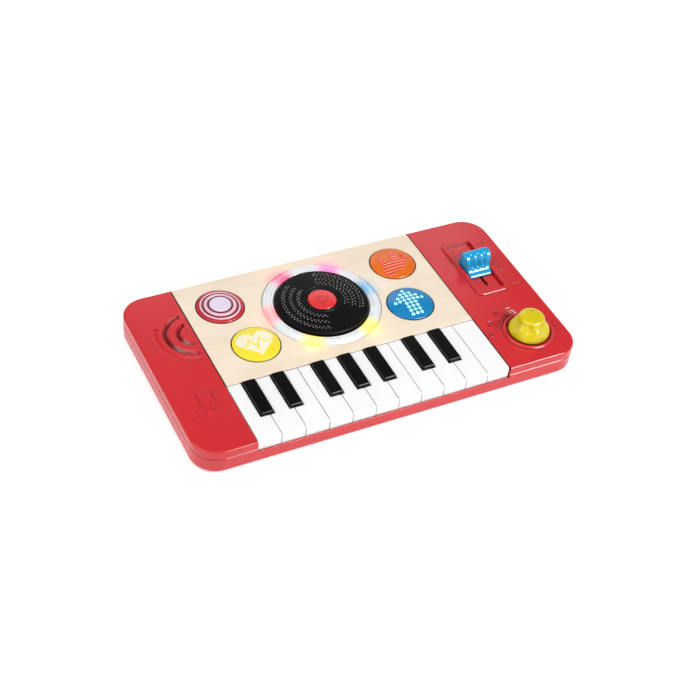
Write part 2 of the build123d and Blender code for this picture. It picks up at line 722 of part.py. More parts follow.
def effect_knob():
    knob = spin(
        KNOB,
        [
            (0, TOP + 0.5),
            (KNOB_R - 0.8, TOP + 0.5),
            (KNOB_R, TOP + 1.2),
            (KNOB_R, TOP + 2.6),
            (KNOB_R - 0.6, TOP + 4.6),
            (KNOB_R - 1.6, TOP + 6.2),
            (15.0, TOP + 7.8),
            (13.6, TOP + 10.2),
            (12.6, TOP + 12.8),
            (12.1, TOP + 15.0),
            (KNOB_TOP_R, TOP + 16.6),
            (10.2, TOP + 17.7),
            (8.0, KNOB_TOP),
            (0, KNOB_TOP),
        ],
    )
    for step in range(KNOB_FLUTES):
        x, y = around(KNOB, KNOB_R + 2.7, 360 / KNOB_FLUTES * step + FLUTE_TURN)
        knob -= Pos(x, y, TOP + 9.5) * Cylinder(7.0, 10)
    # pointer dimple, towards the back
    knob -= rod(around(KNOB, 6.2, POINTER_TURN), 0.9, (KNOB_TOP - 0.5, KNOB_TOP + 1))
    return knob - rod(KNOB, SHAFT_R + 0.02, (0, TOP + 13))


def knob_shaft():
    return rod(KNOB, SHAFT_R, (11.2, TOP + 12.9))


def rotary_switch():
    body = rod(KNOB, 9, (9, 16)) + rod(KNOB, 4.0, (15.9, TOP + 0.2))
    return body - rod(KNOB, SHAFT_R + FIT, (11, TOP + 2))


# ---------------------------------------------------------------- power switch
def power_switch_cap():
    x, y = POWER[0] - 3, POWER[1]
    cap = plate(10, 8, 1, (2.3, POWER_ROOF - 0.3), (x, y))
    for step in (-2, 0, 2):
        cap -= slab((x + step - 0.4, x + step + 0.4), (y - 4, y + 4), (2, 2.8))
    return cap + slab((x - 2.2, x + 2.2), (y - 1.6, y + 1.6), (POWER_ROOF - 0.4, 8.2))


def power_switch_body():
    x, y = POWER
    body = slab((x - 10, x + 10), (y - 4, y + 4), (6.3, 12))
    return body - slab((x - 6.5, x + 6.5), (y - 1.9, y + 1.9), (6, 8.5))


# ---------------------------------------------------------------- power, sound and boards
def battery_door():
    play = 0.2
    x = (DOOR_X[0] + play, DOOR_X[1] - play)
    y = (DOOR_Y[0] + play, DOOR_Y[1] - play)
    door = slab(x, y, (FOOT_H, FOOT_H + DOOR_T))
    door += slab((BOX_X[0] + 1, BOX_X[0] + 2.2), (BOX_Y[0] + 4, BOX_Y[1] - 4), (FOOT_H + 1, FLOOR - 0.2))
    door += slab((BOX_X[1] - 2.2, BOX_X[1] - 1), (BOX_Y[0] + 4, BOX_Y[1] - 4), (FOOT_H + 1, FLOOR - 0.2))
    return door - rod((BATTERY_X, BOX_Y[1] + 5.5), SCREW_R + 0.2, (0, 9))


def battery_door_screw():
    at = (BATTERY_X, BOX_Y[1] + 5.5)
    head = rod(at, 2.8, (FOOT_H - 0.9, FOOT_H)) - Pos(*at, FOOT_H - 0.9) * Box(0.8, 4, 0.8)
    return head + rod(at, SCREW_R - FIT, (FOOT_H - 0.1, 9.5))


def cell_x():
    return [BATTERY_X + CELL_PITCH * step for step in (-1, 0, 1)]


def batteries():
    """Three AAA cells, each second one turned round."""
    group = []
    for i, x in enumerate(cell_x()):
        middle = (BOX_Y[0] + BOX_Y[1]) / 2
        z = FLOOR + CELL_R + 0.4
        way = 1 if i % 2 else -1
        can = Pos(x, middle - way * 0.6, z) * Rot(90, 0, 0) * Cylinder(CELL_R, CELL_L - 1.2)
        nub = Pos(x, middle + way * (CELL_L / 2 - 1), z) * Rot(90, 0, 0) * Cylinder(1.9, 2.4)
        group.append(can + nub)
    return Compound(children=group)


def battery_contacts():
    group = []
    z = (FLOOR + 1, FLOOR + 10)
    for x in cell_x():
        for y in ((BOX_Y[0] + 0.1, BOX_Y[0] + 0.5), (BOX_Y[1] - 0.5, BOX_Y[1] - 0.1)):
            group.append(slab((x - 4, x + 4), y, z))
    for i, x in enumerate(cell_x()):
        end = BOX_Y[0] + 0.5 if i % 2 else BOX_Y[1] - 0.5
        way = 1 if i % 2 else -1
        cone = Pos(x, end + way * 1.4, FLOOR + CELL_R + 0.4) * Rot(-90 * way, 0, 0) * Cone(3.4, 1.8, 2.8)
        group[2 * i + (0 if i % 2 else 1)] += cone
    return Compound(children=group)


def speaker_frame():
    outline = [
        (SPEAKER_R, FLOOR),
        (SPEAKER_R, FLOOR + 2),
        (17.5, FLOOR + 2),
        (11, FLOOR + 7.2),
        (0, FLOOR + 7.2),
        (0, FLOOR + 6.4),
        (10.4, FLOOR + 6.4),
        (16.8, FLOOR + 1.2),
        (16.8, FLOOR),
    ]
    return spin(SPEAKER, outline)


def speaker_cone():
    outline = [
        (16.6, FLOOR + 0.3),
        (16.6, FLOOR + 0.8),
        (10, FLOOR + 5.6),
        (6, FLOOR + 6.0),
        (0, FLOOR + 4.2),
        (0, FLOOR + 3.6),
        (5.8, FLOOR + 5.2),
        (9.6, FLOOR + 5.0),
        (15.8, FLOOR + 0.3),
    ]
    return spin(SPEAKER, outline)


def speaker_magnet():
    return rod(SPEAKER, 9.5, (FLOOR + 7.2, FLOOR + 12.6))


def main_board():
    board = slab((-112, 90), (-4, 77), (BOARD_Z, BOARD_Z + BOARD_T))
    chips = [((-30, 40), (9, 9)), ((14, 62), (6, 10)), ((-44, 66), (5, 5))]
    for (x, y), (wide, deep) in chips:
        board += slab((x - wide, x + wide), (y - deep, y + deep), (BOARD_Z + BOARD_T - 0.1, BOARD_Z + 3))
    return board


def button_switches():
    """Push switches under the four buttons and the disc."""
    group = []
    top = BOARD_Z + BOARD_T
    for x, y in list(BUTTONS.values()) + [DISC]:
        body = slab((x - 3, x + 3), (y - 3, y + 3), (top, SWITCH_TOP - 1.5))
        group.append(body + rod((x, y), 1.7, (SWITCH_TOP - 1.6, SWITCH_TOP)))
    return Compound(children=group)


# ---------------------------------------------------------------- fasteners and feet
def housing_screws():
    group = []
    for at in SCREWS:
        head = rod(at, SCREW_HEAD_R, (BOSS_TOP - 7, BOSS_TOP - 5))
        head -= Pos(*at, BOSS_TOP - 7) * Box(0.9, 4.2, 1.6)
        head -= Pos(*at, BOSS_TOP - 7) * Box(4.2, 0.9, 1.6)
        group.append(head + rod(at, SCREW_R, (BOSS_TOP - 5.1, BOSS_TOP + 5)))
    return Compound(children=group)


def wood_screws():
    group = []
    for at in WOOD_SCREWS:
        head = rod(at, 2.4, (UNDER_DECK - 1.3, UNDER_DECK))
        group.append(head + rod(at, 1.15, (UNDER_DECK - 0.1, TOP - 1.4)))
    return Compound(children=group)


def rubber_feet():
    group = []
    for at in FEET:
        foot = rod(at, FOOT_R, (0, FOOT_H))
        group.append(fillet(foot.faces().sort_by(Axis.Z)[0].edges(), 0.5))
    return Compound(children=group)


# ---------------------------------------------------------------- write every node
def all_nodes():
    nodes = {
        "bottom_shell": bottom_shell(),
        "top_shell": top_shell(),
        "wood_panel": wood_panel(),
        "light_ring": light_ring(),
        "key_hinge_rod": rod_bore(ROD_R),
        "key_contact_board": key_contact_board(),
        "key_rubber_strip": key_rubber_strip(),
        "key_stop_strip": key_stop_strip(),
        "scratch_disc": scratch_disc(),
        "disc_wiper": disc_wiper(),
        "disc_track_board": disc_track_board(),
        "disc_spindle": disc_spindle(),
        "disc_clip": disc_clip(),
        "centre_button": centre_button(),
        "led_board": led_board(),
        "leds": leds(),
        "slider_cap": slider_cap(),
        "slider_lever": slider_lever(),
        "slider_pot": slider_pot(),
        "effect_knob": effect_knob(),
        "knob_shaft": knob_shaft(),
        "rotary_switch": rotary_switch(),
        "power_switch_cap": power_switch_cap(),
        "power_switch_body": power_switch_body(),
        "battery_door": battery_door(),
        "battery_door_screw": battery_door_screw(),
        "batteries": batteries(),
        "battery_contacts": battery_contacts(),
        "speaker_frame": speaker_frame(),
        "speaker_cone": speaker_cone(),
        "speaker_magnet": speaker_magnet(),
        "main_board": main_board(),
        "button_switches": button_switches(),
        "housing_screws": housing_screws(),
        "wood_screws": wood_screws(),
        "rubber_feet": rubber_feet(),
    }
    for name, at in BUTTONS.items():
        nodes[name] = round_button(at)
    for index, note in enumerate(WHITE_NOTES):
        nodes[f"white_key_{note}"] = white_key(index)
    for note in BLACK_NOTES:
        nodes[f"black_key_{note}"] = black_key(note)
    return nodes


os.makedirs("parts", exist_ok=True)
for node, shape in all_nodes().items():
    export_step(shape, f"parts/{node}.step")
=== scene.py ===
"""Looks of the toy electronic keyboard: camera, light, materials and fine surface pieces."""

import json
from math import cos, hypot, pi, radians, sin, sqrt

import bmesh
import bpy
from mathutils import Matrix, Vector


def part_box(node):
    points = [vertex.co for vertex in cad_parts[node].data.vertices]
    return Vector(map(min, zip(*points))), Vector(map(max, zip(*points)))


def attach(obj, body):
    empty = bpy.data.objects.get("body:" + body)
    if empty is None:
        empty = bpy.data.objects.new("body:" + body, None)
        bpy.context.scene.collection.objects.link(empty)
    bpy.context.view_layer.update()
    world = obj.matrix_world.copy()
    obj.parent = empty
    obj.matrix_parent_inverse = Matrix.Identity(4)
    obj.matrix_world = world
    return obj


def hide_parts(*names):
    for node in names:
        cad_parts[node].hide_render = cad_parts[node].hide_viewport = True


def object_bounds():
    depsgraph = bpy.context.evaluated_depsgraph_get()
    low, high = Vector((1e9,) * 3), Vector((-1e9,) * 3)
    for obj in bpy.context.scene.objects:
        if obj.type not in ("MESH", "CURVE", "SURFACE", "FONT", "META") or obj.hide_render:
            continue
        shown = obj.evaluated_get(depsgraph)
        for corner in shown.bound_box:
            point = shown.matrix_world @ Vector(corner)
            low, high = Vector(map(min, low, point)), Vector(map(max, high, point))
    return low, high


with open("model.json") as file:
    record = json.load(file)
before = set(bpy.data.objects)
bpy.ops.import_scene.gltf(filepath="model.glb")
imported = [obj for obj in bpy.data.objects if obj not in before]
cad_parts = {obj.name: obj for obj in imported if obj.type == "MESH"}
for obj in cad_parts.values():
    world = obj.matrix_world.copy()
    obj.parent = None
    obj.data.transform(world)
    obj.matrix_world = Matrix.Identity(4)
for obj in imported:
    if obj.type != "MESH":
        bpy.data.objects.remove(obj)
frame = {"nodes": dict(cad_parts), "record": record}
CAD_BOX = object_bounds()

MM = 0.001
SHARP = radians(38)

# ---------------------------------------------------------------- places, in mm
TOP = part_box("wood_panel")[1].z / MM  # upper face of the wood and the caps
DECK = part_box("wood_panel")[0].z / MM


def middle(node):
    """The plan centre of a CAD node, in mm."""
    low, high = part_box(node)
    return ((low.x + high.x) / 2 / MM, (low.y + high.y) / 2 / MM)


DISC = middle("scratch_disc")
TARGET = middle("target_button")
CROWN = middle("crown_button")
HEART = middle("heart_button")
ARROW = middle("arrow_button")
KNOB = middle("effect_knob")
SLIDER = middle("slider_cap")
BUTTON_RIM = 19.5  # where the domed top of a button meets its rounded edge
BUTTON_EDGE = 1.0  # heights above TOP
BUTTON_CROWN = 3.6
ARCS = (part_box("wood_panel")[0].x / MM - 2.0, 38.5)  # centre of the sound arcs
SEAMS = [corner.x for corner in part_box("wood_panel")]  # where the caps meet the wood, in metres
HOLE_R = 20.95  # the wood's holes for the four buttons
SEAM_DARK = (0.03, 0.015, 0.012)  # painted shade on the wood's edges and round the button holes
CAP_SEAM_DARK = (0.02, 0.002, 0.002)  # painted shade on the caps' edges beside the wood
# painted shadow colour for the sound arcs
GROOVE_DARK = (0.115, 0.003, 0.005)
ARC_SHADOWS = [(13.4, 3.9), (24.6, 4.9)]  # outer radius and width of each crescent of painted shadow
HAZE_IN = 20.2  # the matt end of the middle sound arc
HAZE_OUT = 25.8
LAMP_R = 46.8  # the six lamps under the ring
LAMP_FULL = 3  # degrees from a lamp to where its colour starts to fade
LAMP_NONE = 19  # and to where it ends
SPILL_R = 54.5  # the small lights that tint the wood round the ring
SPILL_RISE = 6.5
SPILL_POWER = 0.0014  # watts
LAMPS = [
    # degrees round the disc, colour
    (6, (0.11, 0.32, 0.50)),
    (57, (0.86, 0.12, 0.44)),
    (115, (0.80, 0.06, 0.20)),
    (178, (0.96, 0.26, 0.28)),
    (236, (1.0, 0.70, 0.10)),
    (303, (0.74, 0.72, 0.08)),
]


# ---------------------------------------------------------------- materials
SPREAD_SOCKETS = ("From Min", "From Max", "To Min", "To Max")


class Paint:
    """A node material with a Principled shader and short calls for the nodes used here."""

    def __init__(self, name, colour, rough, **sockets):
        self.material = bpy.data.materials.new(name)
        self.material.use_nodes = True
        self.tree = self.material.node_tree
        self.shader = self.tree.nodes["Principled BSDF"]
        self.shader.inputs["Base Color"].default_value = (*colour, 1)
        self.shader.inputs["Roughness"].default_value = rough
        for socket, value in sockets.items():
            self.shader.inputs[socket.replace("_", " ")].default_value = value
        self.place = self.node("ShaderNodeTexCoord").outputs["Object"]

    def node(self, kind, **inputs):
        made = self.tree.nodes.new(kind)
        for socket, value in inputs.items():
            self.feed(made.inputs[socket.replace("_", " ")], value)
        return made

    def feed(self, socket, value):
        if isinstance(value, bpy.types.NodeSocket):
            self.tree.links.new(value, socket)
        elif isinstance(value, tuple) and len(value) == 3 and socket.type == "RGBA":
            socket.default_value = (*value, 1)
        else:
            socket.default_value = value

    def math(self, operation, a, b=0.0):
        made = self.node("ShaderNodeMath")
        made.operation = operation
        self.feed(made.inputs[0], a)
        self.feed(made.inputs[1], b)
        return made.outputs[0]

    def mix(self, share, a, b):
        made = self.node("ShaderNodeMix")
        made.data_type = "RGBA"
        self.feed(made.inputs[0], share)
        self.feed(made.inputs[6], a)
        self.feed(made.inputs[7], b)
        return made.outputs[2]

    def spread(self, value, low, high, to_low=0.0, to_high=1.0):
        """Moves a value from one range to another, held inside the second."""
        made = self.node("ShaderNodeMapRange", Value=value)
        for socket, number in zip(SPREAD_SOCKETS, (low, high, to_low, to_high)):
            made.inputs[socket].default_value = number
        return made.outputs[0]

    def stretched(self, scale, turn=(0, 0, 0), shift=(0, 0, 0)):
        """The object coordinates, in metres, times a scale for each axis."""
        made = self.node("ShaderNodeMapping", Vector=self.place)
        made.inputs["Location"].default_value = shift
        made.inputs["Rotation"].default_value = turn
        made.inputs["Scale"].default_value = scale
        return made.outputs[0]

    def noise(self, scale, detail=2.0, rough=0.5, at=None, warp=0.0):
        made = self.node("ShaderNodeTexNoise", Vector=at or self.place)
        made.inputs["Scale"].default_value = scale
        made.inputs["Detail"].default_value = detail
        made.inputs["Roughness"].default_value = rough
        made.inputs["Distortion"].default_value = warp
        return made.outputs["Fac"]

    def edges(self, radius_mm):
        """1 on sharp outer edges, 0 on flat faces."""
        soft = self.node("ShaderNodeBevel")
        soft.samples = 4
        soft.inputs["Radius"].default_value = radius_mm * MM
        true = self.node("ShaderNodeNewGeometry").outputs["Normal"]
        dot = self.node("ShaderNodeVectorMath")
        dot.operation = "DOT_PRODUCT"
        self.feed(dot.inputs[0], soft.outputs[0])
        self.feed(dot.inputs[1], true)
        return self.spread(dot.outputs["Value"], 0.985, 0.90, 0.0, 1.0)

    def crevice(self, reach_mm):
        """1 in the open, 0 deep in seams and corners."""
        made = self.node("ShaderNodeAmbientOcclusion")
        made.samples = 6
        made.inputs["Distance"].default_value = reach_mm * MM
        return made.outputs["AO"]

    def bump(self, height, depth_mm, before=None):
        made = self.node("ShaderNodeBump", Height=height)
        made.inputs["Strength"].default_value = 1.0
        made.inputs["Distance"].default_value = depth_mm * MM
        if before is not None:
            self.feed(made.inputs["Normal"], before)
        return made.outputs[0]

    def set(self, socket, value):
        self.feed(self.shader.inputs[socket], value)


def shade(colour, factor):
    return tuple(min(1.0, c * factor) for c in colour)


def near_top(p):
    """1 close under the caps' upper face, 0 lower down."""
    split = p.node("ShaderNodeSeparateXYZ", Vector=p.place)
    return p.spread(split.outputs["Z"], (TOP - 3) * MM, (TOP - 2.2) * MM)


def groove_painted_shadow(p):
    """1 in the crescents of painted shadow in the sound arcs, widest at their far left."""
    radius, angle = polar(p, ARCS)
    west = p.math("MULTIPLY", p.math("COSINE", angle), -1.0)
    wide = p.math("POWER", p.spread(west, -0.05, 0.75), 0.6)
    arc_shadow = 0.0
    for outer, width in ARC_SHADOWS:
        inward = p.math("DIVIDE", p.math("SUBTRACT", outer * MM, radius), width * MM)
        inside = p.spread(inward, -0.04, 0.10)
        fade = p.spread(p.math("SUBTRACT", inward, wide), -0.45, 0.0, 1.0, 0.0)
        arc_shadow = p.math("MAXIMUM", arc_shadow, p.math("MULTIPLY", inside, fade))
    arc_shadow = p.math("MULTIPLY", arc_shadow, p.spread(west, -0.08, 0.02))
    return p.math("MULTIPLY", arc_shadow, near_top(p))


def groove_haze(p):
    """1 at the far end of the middle sound arc, which the mould left matt."""
    radius, angle = polar(p, ARCS)
    outside = p.spread(radius, HAZE_IN * MM, (HAZE_IN + 0.4) * MM)
    inside = p.spread(radius, (HAZE_OUT - 0.4) * MM, HAZE_OUT * MM, 1.0, 0.0)
    behind = p.spread(p.math("SINE", angle), 0.75, 0.9)
    return p.math("MULTIPLY", p.math("MULTIPLY", outside, inside), behind)


def seam_painted_shade(p):
    """1 in a thin line along the caps' inner edges, at the top, where painted shade goes."""
    split = p.node("ShaderNodeSeparateXYZ", Vector=p.place)
    shade_line = 0.0
    for seam in SEAMS:
        away = p.math("ABSOLUTE", p.math("SUBTRACT", split.outputs["X"], seam))
        shade_line = p.math("MAXIMUM", shade_line, p.spread(away, 0.45 * MM, 0.9 * MM, 1.0, 0.0))
    return p.math("MULTIPLY", shade_line, near_top(p))


def plastic(name, colour, rough, drift=0.05, worn=0.25, crevice_shade=0.35, marked=False, **sockets):
    """Moulded plastic: flow marks, fine tool texture, paler edges and painted shade in seams and
    corners.

    The paler edges are partly wear and partly a painted highlight. Marked plastic also has painted
    shadow in the sound arcs, a matt end to the middle arc and a painted shade line beside the wood.
    """
    grain_mm = 0.45
    depth_mm = 0.003
    p = Paint(name, colour, rough, **sockets)
    cloud = p.noise(22, detail=3)
    pigment = p.noise(420, detail=2)
    tone = p.mix(p.spread(cloud, 0.3, 0.7), shade(colour, 1 - drift), shade(colour, 1 + drift))
    tone = p.mix(p.spread(pigment, 0.35, 0.65, 0, 0.35), tone, shade(colour, 1 - 1.6 * drift))
    # paler sharp edges: partly wear, partly a painted highlight
    rim = p.edges(0.35)
    pale = tuple(c + (1 - c) * 0.22 for c in colour)
    tone = p.mix(p.math("MULTIPLY", rim, worn), tone, pale)
    # painted shade: the occlusion mask darkens seams and corners
    seam = p.spread(p.crevice(2.4), 0.25, 0.95, crevice_shade, 0.0)
    tone = p.mix(seam, tone, shade(colour, 0.14))
    smears = p.noise(34, detail=3, rough=0.55)
    gloss = p.spread(smears, 0.3, 0.7, rough - 0.025, rough + 0.035)
    if marked:
        # painted shadow in the sound arcs
        tone = p.mix(p.math("MULTIPLY", groove_painted_shadow(p), 0.95), tone, GROOVE_DARK)
        # painted shade in a thin line beside the seams with the wood
        tone = p.mix(p.math("MULTIPLY", seam_painted_shade(p), 0.9), tone, CAP_SEAM_DARK)
        gloss = p.math("ADD", gloss, p.math("MULTIPLY", groove_haze(p), 0.6))
    p.set("Base Color", tone)
    p.set("Roughness", p.math("ADD", gloss, p.math("MULTIPLY", rim, 0.1)))
    tooth = p.noise(1000 / grain_mm, detail=1)
    sag = p.noise(26, detail=1)
    p.set("Normal", p.bump(tooth, depth_mm, before=p.bump(sag, 0.02)))
    return p.material


def disc_rubber():
    """Black textured plastic with a fine circular tool mark."""
    p = Paint("disc_black", (0.007, 0.006, 0.006), 0.4, Specular_IOR_Level=0.09)
    radius, _ = polar(p, DISC)
    grit = p.noise(1600, detail=2)
    cloud = p.noise(40, detail=3)
    base = p.mix(p.spread(cloud, 0.3, 0.7), (0.002, 0.0018, 0.0018), (0.005, 0.0045, 0.0045))
    # paler sharp edges: partly wear, partly a painted highlight
    rim = p.edges(0.4)
    p.set("Base Color", p.mix(p.math("MULTIPLY", rim, 0.4), base, (0.05, 0.05, 0.05)))
    p.set("Roughness", p.spread(cloud, 0.3, 0.7, 0.34, 0.46))
    turning = p.math("SINE", p.math("MULTIPLY", radius, 2 * pi / (0.9 * MM)))
    p.set("Normal", p.bump(turning, 0.012, before=p.bump(grit, 0.02)))
    return p.material


def polar(p, centre):
    """Radius in metres and angle in radians about an upright line."""
    split = p.node("ShaderNodeSeparateXYZ", Vector=p.place)
    x = p.math("SUBTRACT", split.outputs["X"], centre[0] * MM)
    y = p.math("SUBTRACT", split.outputs["Y"], centre[1] * MM)
    radius = p.math("SQRT", p.math("ADD", p.math("MULTIPLY", x, x), p.math("MULTIPLY", y, y)))
    return radius, p.math("ARCTAN2", y, x)


def lamp_shares(p, angle):
    """For each lamp: its colour, and 1 over it fading to 0 on both sides."""
    shares = []
    for turn, colour in LAMPS:
        offset = p.math("ADD", p.math("SUBTRACT", angle, radians(turn)), pi)
        away = p.math("ABSOLUTE", p.math("SUBTRACT", p.math("FLOORED_MODULO", offset, 2 * pi), pi))
        fade = p.node("ShaderNodeMapRange", Value=away)
        fade.interpolation_type = "SMOOTHSTEP"
        for socket, number in zip(SPREAD_SOCKETS, (radians(LAMP_FULL), radians(LAMP_NONE), 1.0, 0.0)):
            fade.inputs[socket].default_value = number
        shares.append((colour, fade.outputs[0]))
    return shares


def ring_lens():
    """Milky lens ring with turned ribs, lit from inside at the six lamps; their colours are also painted
    into the base colour as painted light.
    """
    p = Paint("milky_plastic", (0.78, 0.80, 0.82), 0.14, Coat_Weight=0.4, Coat_Roughness=0.05)
    p.shader.inputs["Subsurface Weight"].default_value = 0.3
    p.shader.inputs["Subsurface Radius"].default_value = (0.004, 0.004, 0.004)
    p.shader.inputs["Subsurface Scale"].default_value = 1.0
    radius, angle = polar(p, DISC)
    cloud = p.noise(70, detail=3)
    ribs = p.math("SINE", p.math("MULTIPLY", radius, 2 * pi / (2.1 * MM)))
    clear = p.mix(p.spread(cloud, 0.3, 0.7), (0.70, 0.72, 0.74), (0.80, 0.82, 0.84))
    clear = p.mix(p.spread(ribs, -0.2, 0.9, 0.0, 0.35), clear, (0.50, 0.53, 0.57))
    away = p.math("ABSOLUTE", p.math("SUBTRACT", radius, LAMP_R * MM))
    core = p.math("MULTIPLY", p.spread(away, 0.3 * MM, 2.6 * MM, 1.0, 0.0), 0.6)
    glow = (0.0, 0.0, 0.0)
    # painted light: each lamp's colour is mixed into the lens's base colour over it
    for colour, share in lamp_shares(p, angle):
        clear = p.mix(p.math("MULTIPLY", share, 0.88), clear, colour)
        glow = p.mix(share, glow, p.mix(core, colour, (1.0, 0.96, 0.94)))
    p.set("Base Color", clear)
    p.set("Emission Color", glow)
    p.shader.inputs["Emission Strength"].default_value = 0.33
    p.set("Roughness", p.spread(cloud, 0.3, 0.7, 0.1, 0.2))
    p.set("Normal", p.bump(ribs, 0.05, before=p.bump(p.noise(900), 0.008)))
    return p.material


def birch():
    """Pale birch plywood: fine grain along X, short dark flecks, plies on the cut sides, painted lamp
    light round the ring and painted shade in seams and corners.
    """
    p = Paint("birch", (0.80, 0.66, 0.49), 0.5, Coat_Weight=0.12, Coat_Roughness=0.35)
    drift = p.noise(7, detail=2, at=p.stretched((1, 5, 5)))
    along = p.stretched((2.2, 26, 26), turn=(0, 0, 0.02))
    waves = p.noise(3.2, detail=6, rough=0.6, at=along, warp=0.35)
    fibre = p.noise(9, detail=5, rough=0.7, at=p.stretched((3, 130, 130)))
    fleck = p.noise(14, detail=2, at=p.stretched((9, 150, 150), shift=(3, 0, 0)))
    tone = p.mix(p.spread(waves, 0.32, 0.68), (0.72, 0.595, 0.455), (0.80, 0.685, 0.545))
    tone = p.mix(p.spread(drift, 0.3, 0.7, 0, 0.45), tone, (0.84, 0.74, 0.61))
    tone = p.mix(p.spread(fibre, 0.35, 0.65, 0, 0.26), tone, (0.65, 0.52, 0.38))
    tone = p.mix(p.spread(fleck, 0.66, 0.78, 0, 0.4), tone, (0.50, 0.33, 0.19))
    split = p.node("ShaderNodeSeparateXYZ", Vector=p.place)
    normal = p.node("ShaderNodeNewGeometry").outputs["Normal"]
    up = p.node("ShaderNodeSeparateXYZ", Vector=normal).outputs["Z"]
    side = p.spread(p.math("ABSOLUTE", up), 0.35, 0.6, 1.0, 0.0)
    ply = p.math("SINE", p.math("MULTIPLY", split.outputs["Z"], 2 * pi / (1.34 * MM)))
    plies = p.mix(p.spread(ply, -0.3, 0.3), (0.60, 0.43, 0.27), (0.80, 0.64, 0.46))
    tone = p.mix(side, tone, plies)
    # painted light: each lamp's colour tints the wood's top just outside the ring
    radius, angle = polar(p, DISC)
    spill = p.math("MULTIPLY", p.spread(radius, 51 * MM, 61 * MM, 0.42, 0.0), p.spread(up, 0.5, 0.9))
    for colour, share in lamp_shares(p, angle):
        tone = p.mix(p.math("MULTIPLY", share, spill), tone, colour)
    # painted shade: the occlusion mask darkens seams and corners
    tone = p.mix(p.spread(p.crevice(2.2), 0.25, 0.9, 0.95, 0.0), tone, (0.10, 0.045, 0.03))
    # painted shade in a thin ring round each button hole
    for centre in (TARGET, CROWN, HEART, ARROW):
        radius, _ = polar(p, centre)
        line = p.spread(radius, (HOLE_R + 0.25) * MM, (HOLE_R + 0.65) * MM, 0.9, 0.0)
        tone = p.mix(line, tone, SEAM_DARK)
    # painted shade in a thin line along the seams with the caps
    away = p.math("ABSOLUTE", p.math("SUBTRACT", split.outputs["X"], sum(SEAMS) / 2))
    half = (SEAMS[1] - SEAMS[0]) / 2
    tone = p.mix(p.spread(away, half - 0.6 * MM, half - 0.3 * MM, 0.0, 0.9), tone, SEAM_DARK)
    p.set("Base Color", tone)
    p.set("Roughness", p.spread(fibre, 0.3, 0.7, 0.42, 0.58))
    p.set("Normal", p.bump(fibre, 0.05, before=p.bump(waves, 0.06)))
    return p.material


def metal(name, colour, rough):
    """Bare metal with drawn or turned marks."""
    p = Paint(name, colour, rough, Metallic=1.0)
    marks = p.noise(500, detail=3, at=p.stretched((1, 1, 12)))
    spots = p.noise(150, detail=4)
    p.set("Base Color", p.mix(p.spread(spots, 0.35, 0.7, 0, 0.5), colour, shade(colour, 0.7)))
    p.set("Roughness", p.spread(marks, 0.3, 0.7, rough - 0.08, rough + 0.12))
    p.set("Normal", p.bump(marks, 0.01))
    return p.material


def circuit_board():
    """Green solder mask over copper tracks, with tinned pads."""
    p = Paint("circuit_board", (0.02, 0.16, 0.07), 0.3)
    across = p.math("SINE", p.math("MULTIPLY", p.noise(60, detail=1), 60))
    track = p.spread(across, 0.55, 0.75)
    weave = p.noise(900, detail=1)
    tone = p.mix(track, (0.015, 0.13, 0.055), (0.05, 0.27, 0.10))
    tone = p.mix(p.spread(weave, 0.6, 0.8, 0, 0.3), tone, (0.10, 0.30, 0.16))
    p.set("Base Color", tone)
    p.set("Roughness", p.spread(weave, 0.3, 0.7, 0.25, 0.4))
    p.set("Normal", p.bump(track, 0.035))
    return p.material


def soft_body(name, colour, rough, pores, depth_mm, **sockets):
    """Rubber, silicone, foam or paper: mottled, with open pores or fibres."""
    p = Paint(name, colour, rough, **sockets)
    cells = p.node("ShaderNodeTexVoronoi", Vector=p.place)
    cells.inputs["Scale"].default_value = pores
    cloud = p.noise(60, detail=4)
    pit = cells.outputs["Distance"]
    tone = p.mix(p.spread(cloud, 0.3, 0.7), shade(colour, 0.82), shade(colour, 1.12))
    # darker in the pits: painted shade
    p.set("Base Color", p.mix(p.spread(pit, 0.0, 0.35, 0.4, 0.0), tone, shade(colour, 0.5)))
    p.set("Roughness", p.spread(cloud, 0.3, 0.7, rough - 0.06, min(1.0, rough + 0.08)))
    p.set("Normal", p.bump(pit, depth_mm))
    return p.material


def cell_jacket():
    """Plain dry cells: dark sleeve, pale band and steel ends, with no marks."""
    p = Paint("cell_jacket", (0.05, 0.06, 0.08), 0.3)
    split = p.node("ShaderNodeSeparateXYZ", Vector=p.place)
    low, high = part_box("batteries")
    along = p.spread(split.outputs["Y"], low.y, high.y)
    band = p.node("ShaderNodeValToRGB", Fac=along)
    band.color_ramp.interpolation = "CONSTANT"
    stops = band.color_ramp.elements
    stops[0].color = (0.55, 0.55, 0.54, 1)
    stops[1].position = 0.05
    stops[1].color = (0.04, 0.05, 0.07, 1)
    for position, colour in ((0.66, (0.62, 0.36, 0.10, 1)), (0.95, (0.55, 0.55, 0.54, 1))):
        stop = stops.new(position)
        stop.color = colour
    scuff = p.noise(220, detail=4)
    worn = p.spread(scuff, 0.5, 0.75, 0, 0.3)
    p.set("Base Color", p.mix(worn, band.outputs["Color"], (0.3, 0.3, 0.3)))
    p.set("Roughness", p.spread(scuff, 0.3, 0.7, 0.22, 0.4))
    p.set("Normal", p.bump(scuff, 0.01))
    return p.material


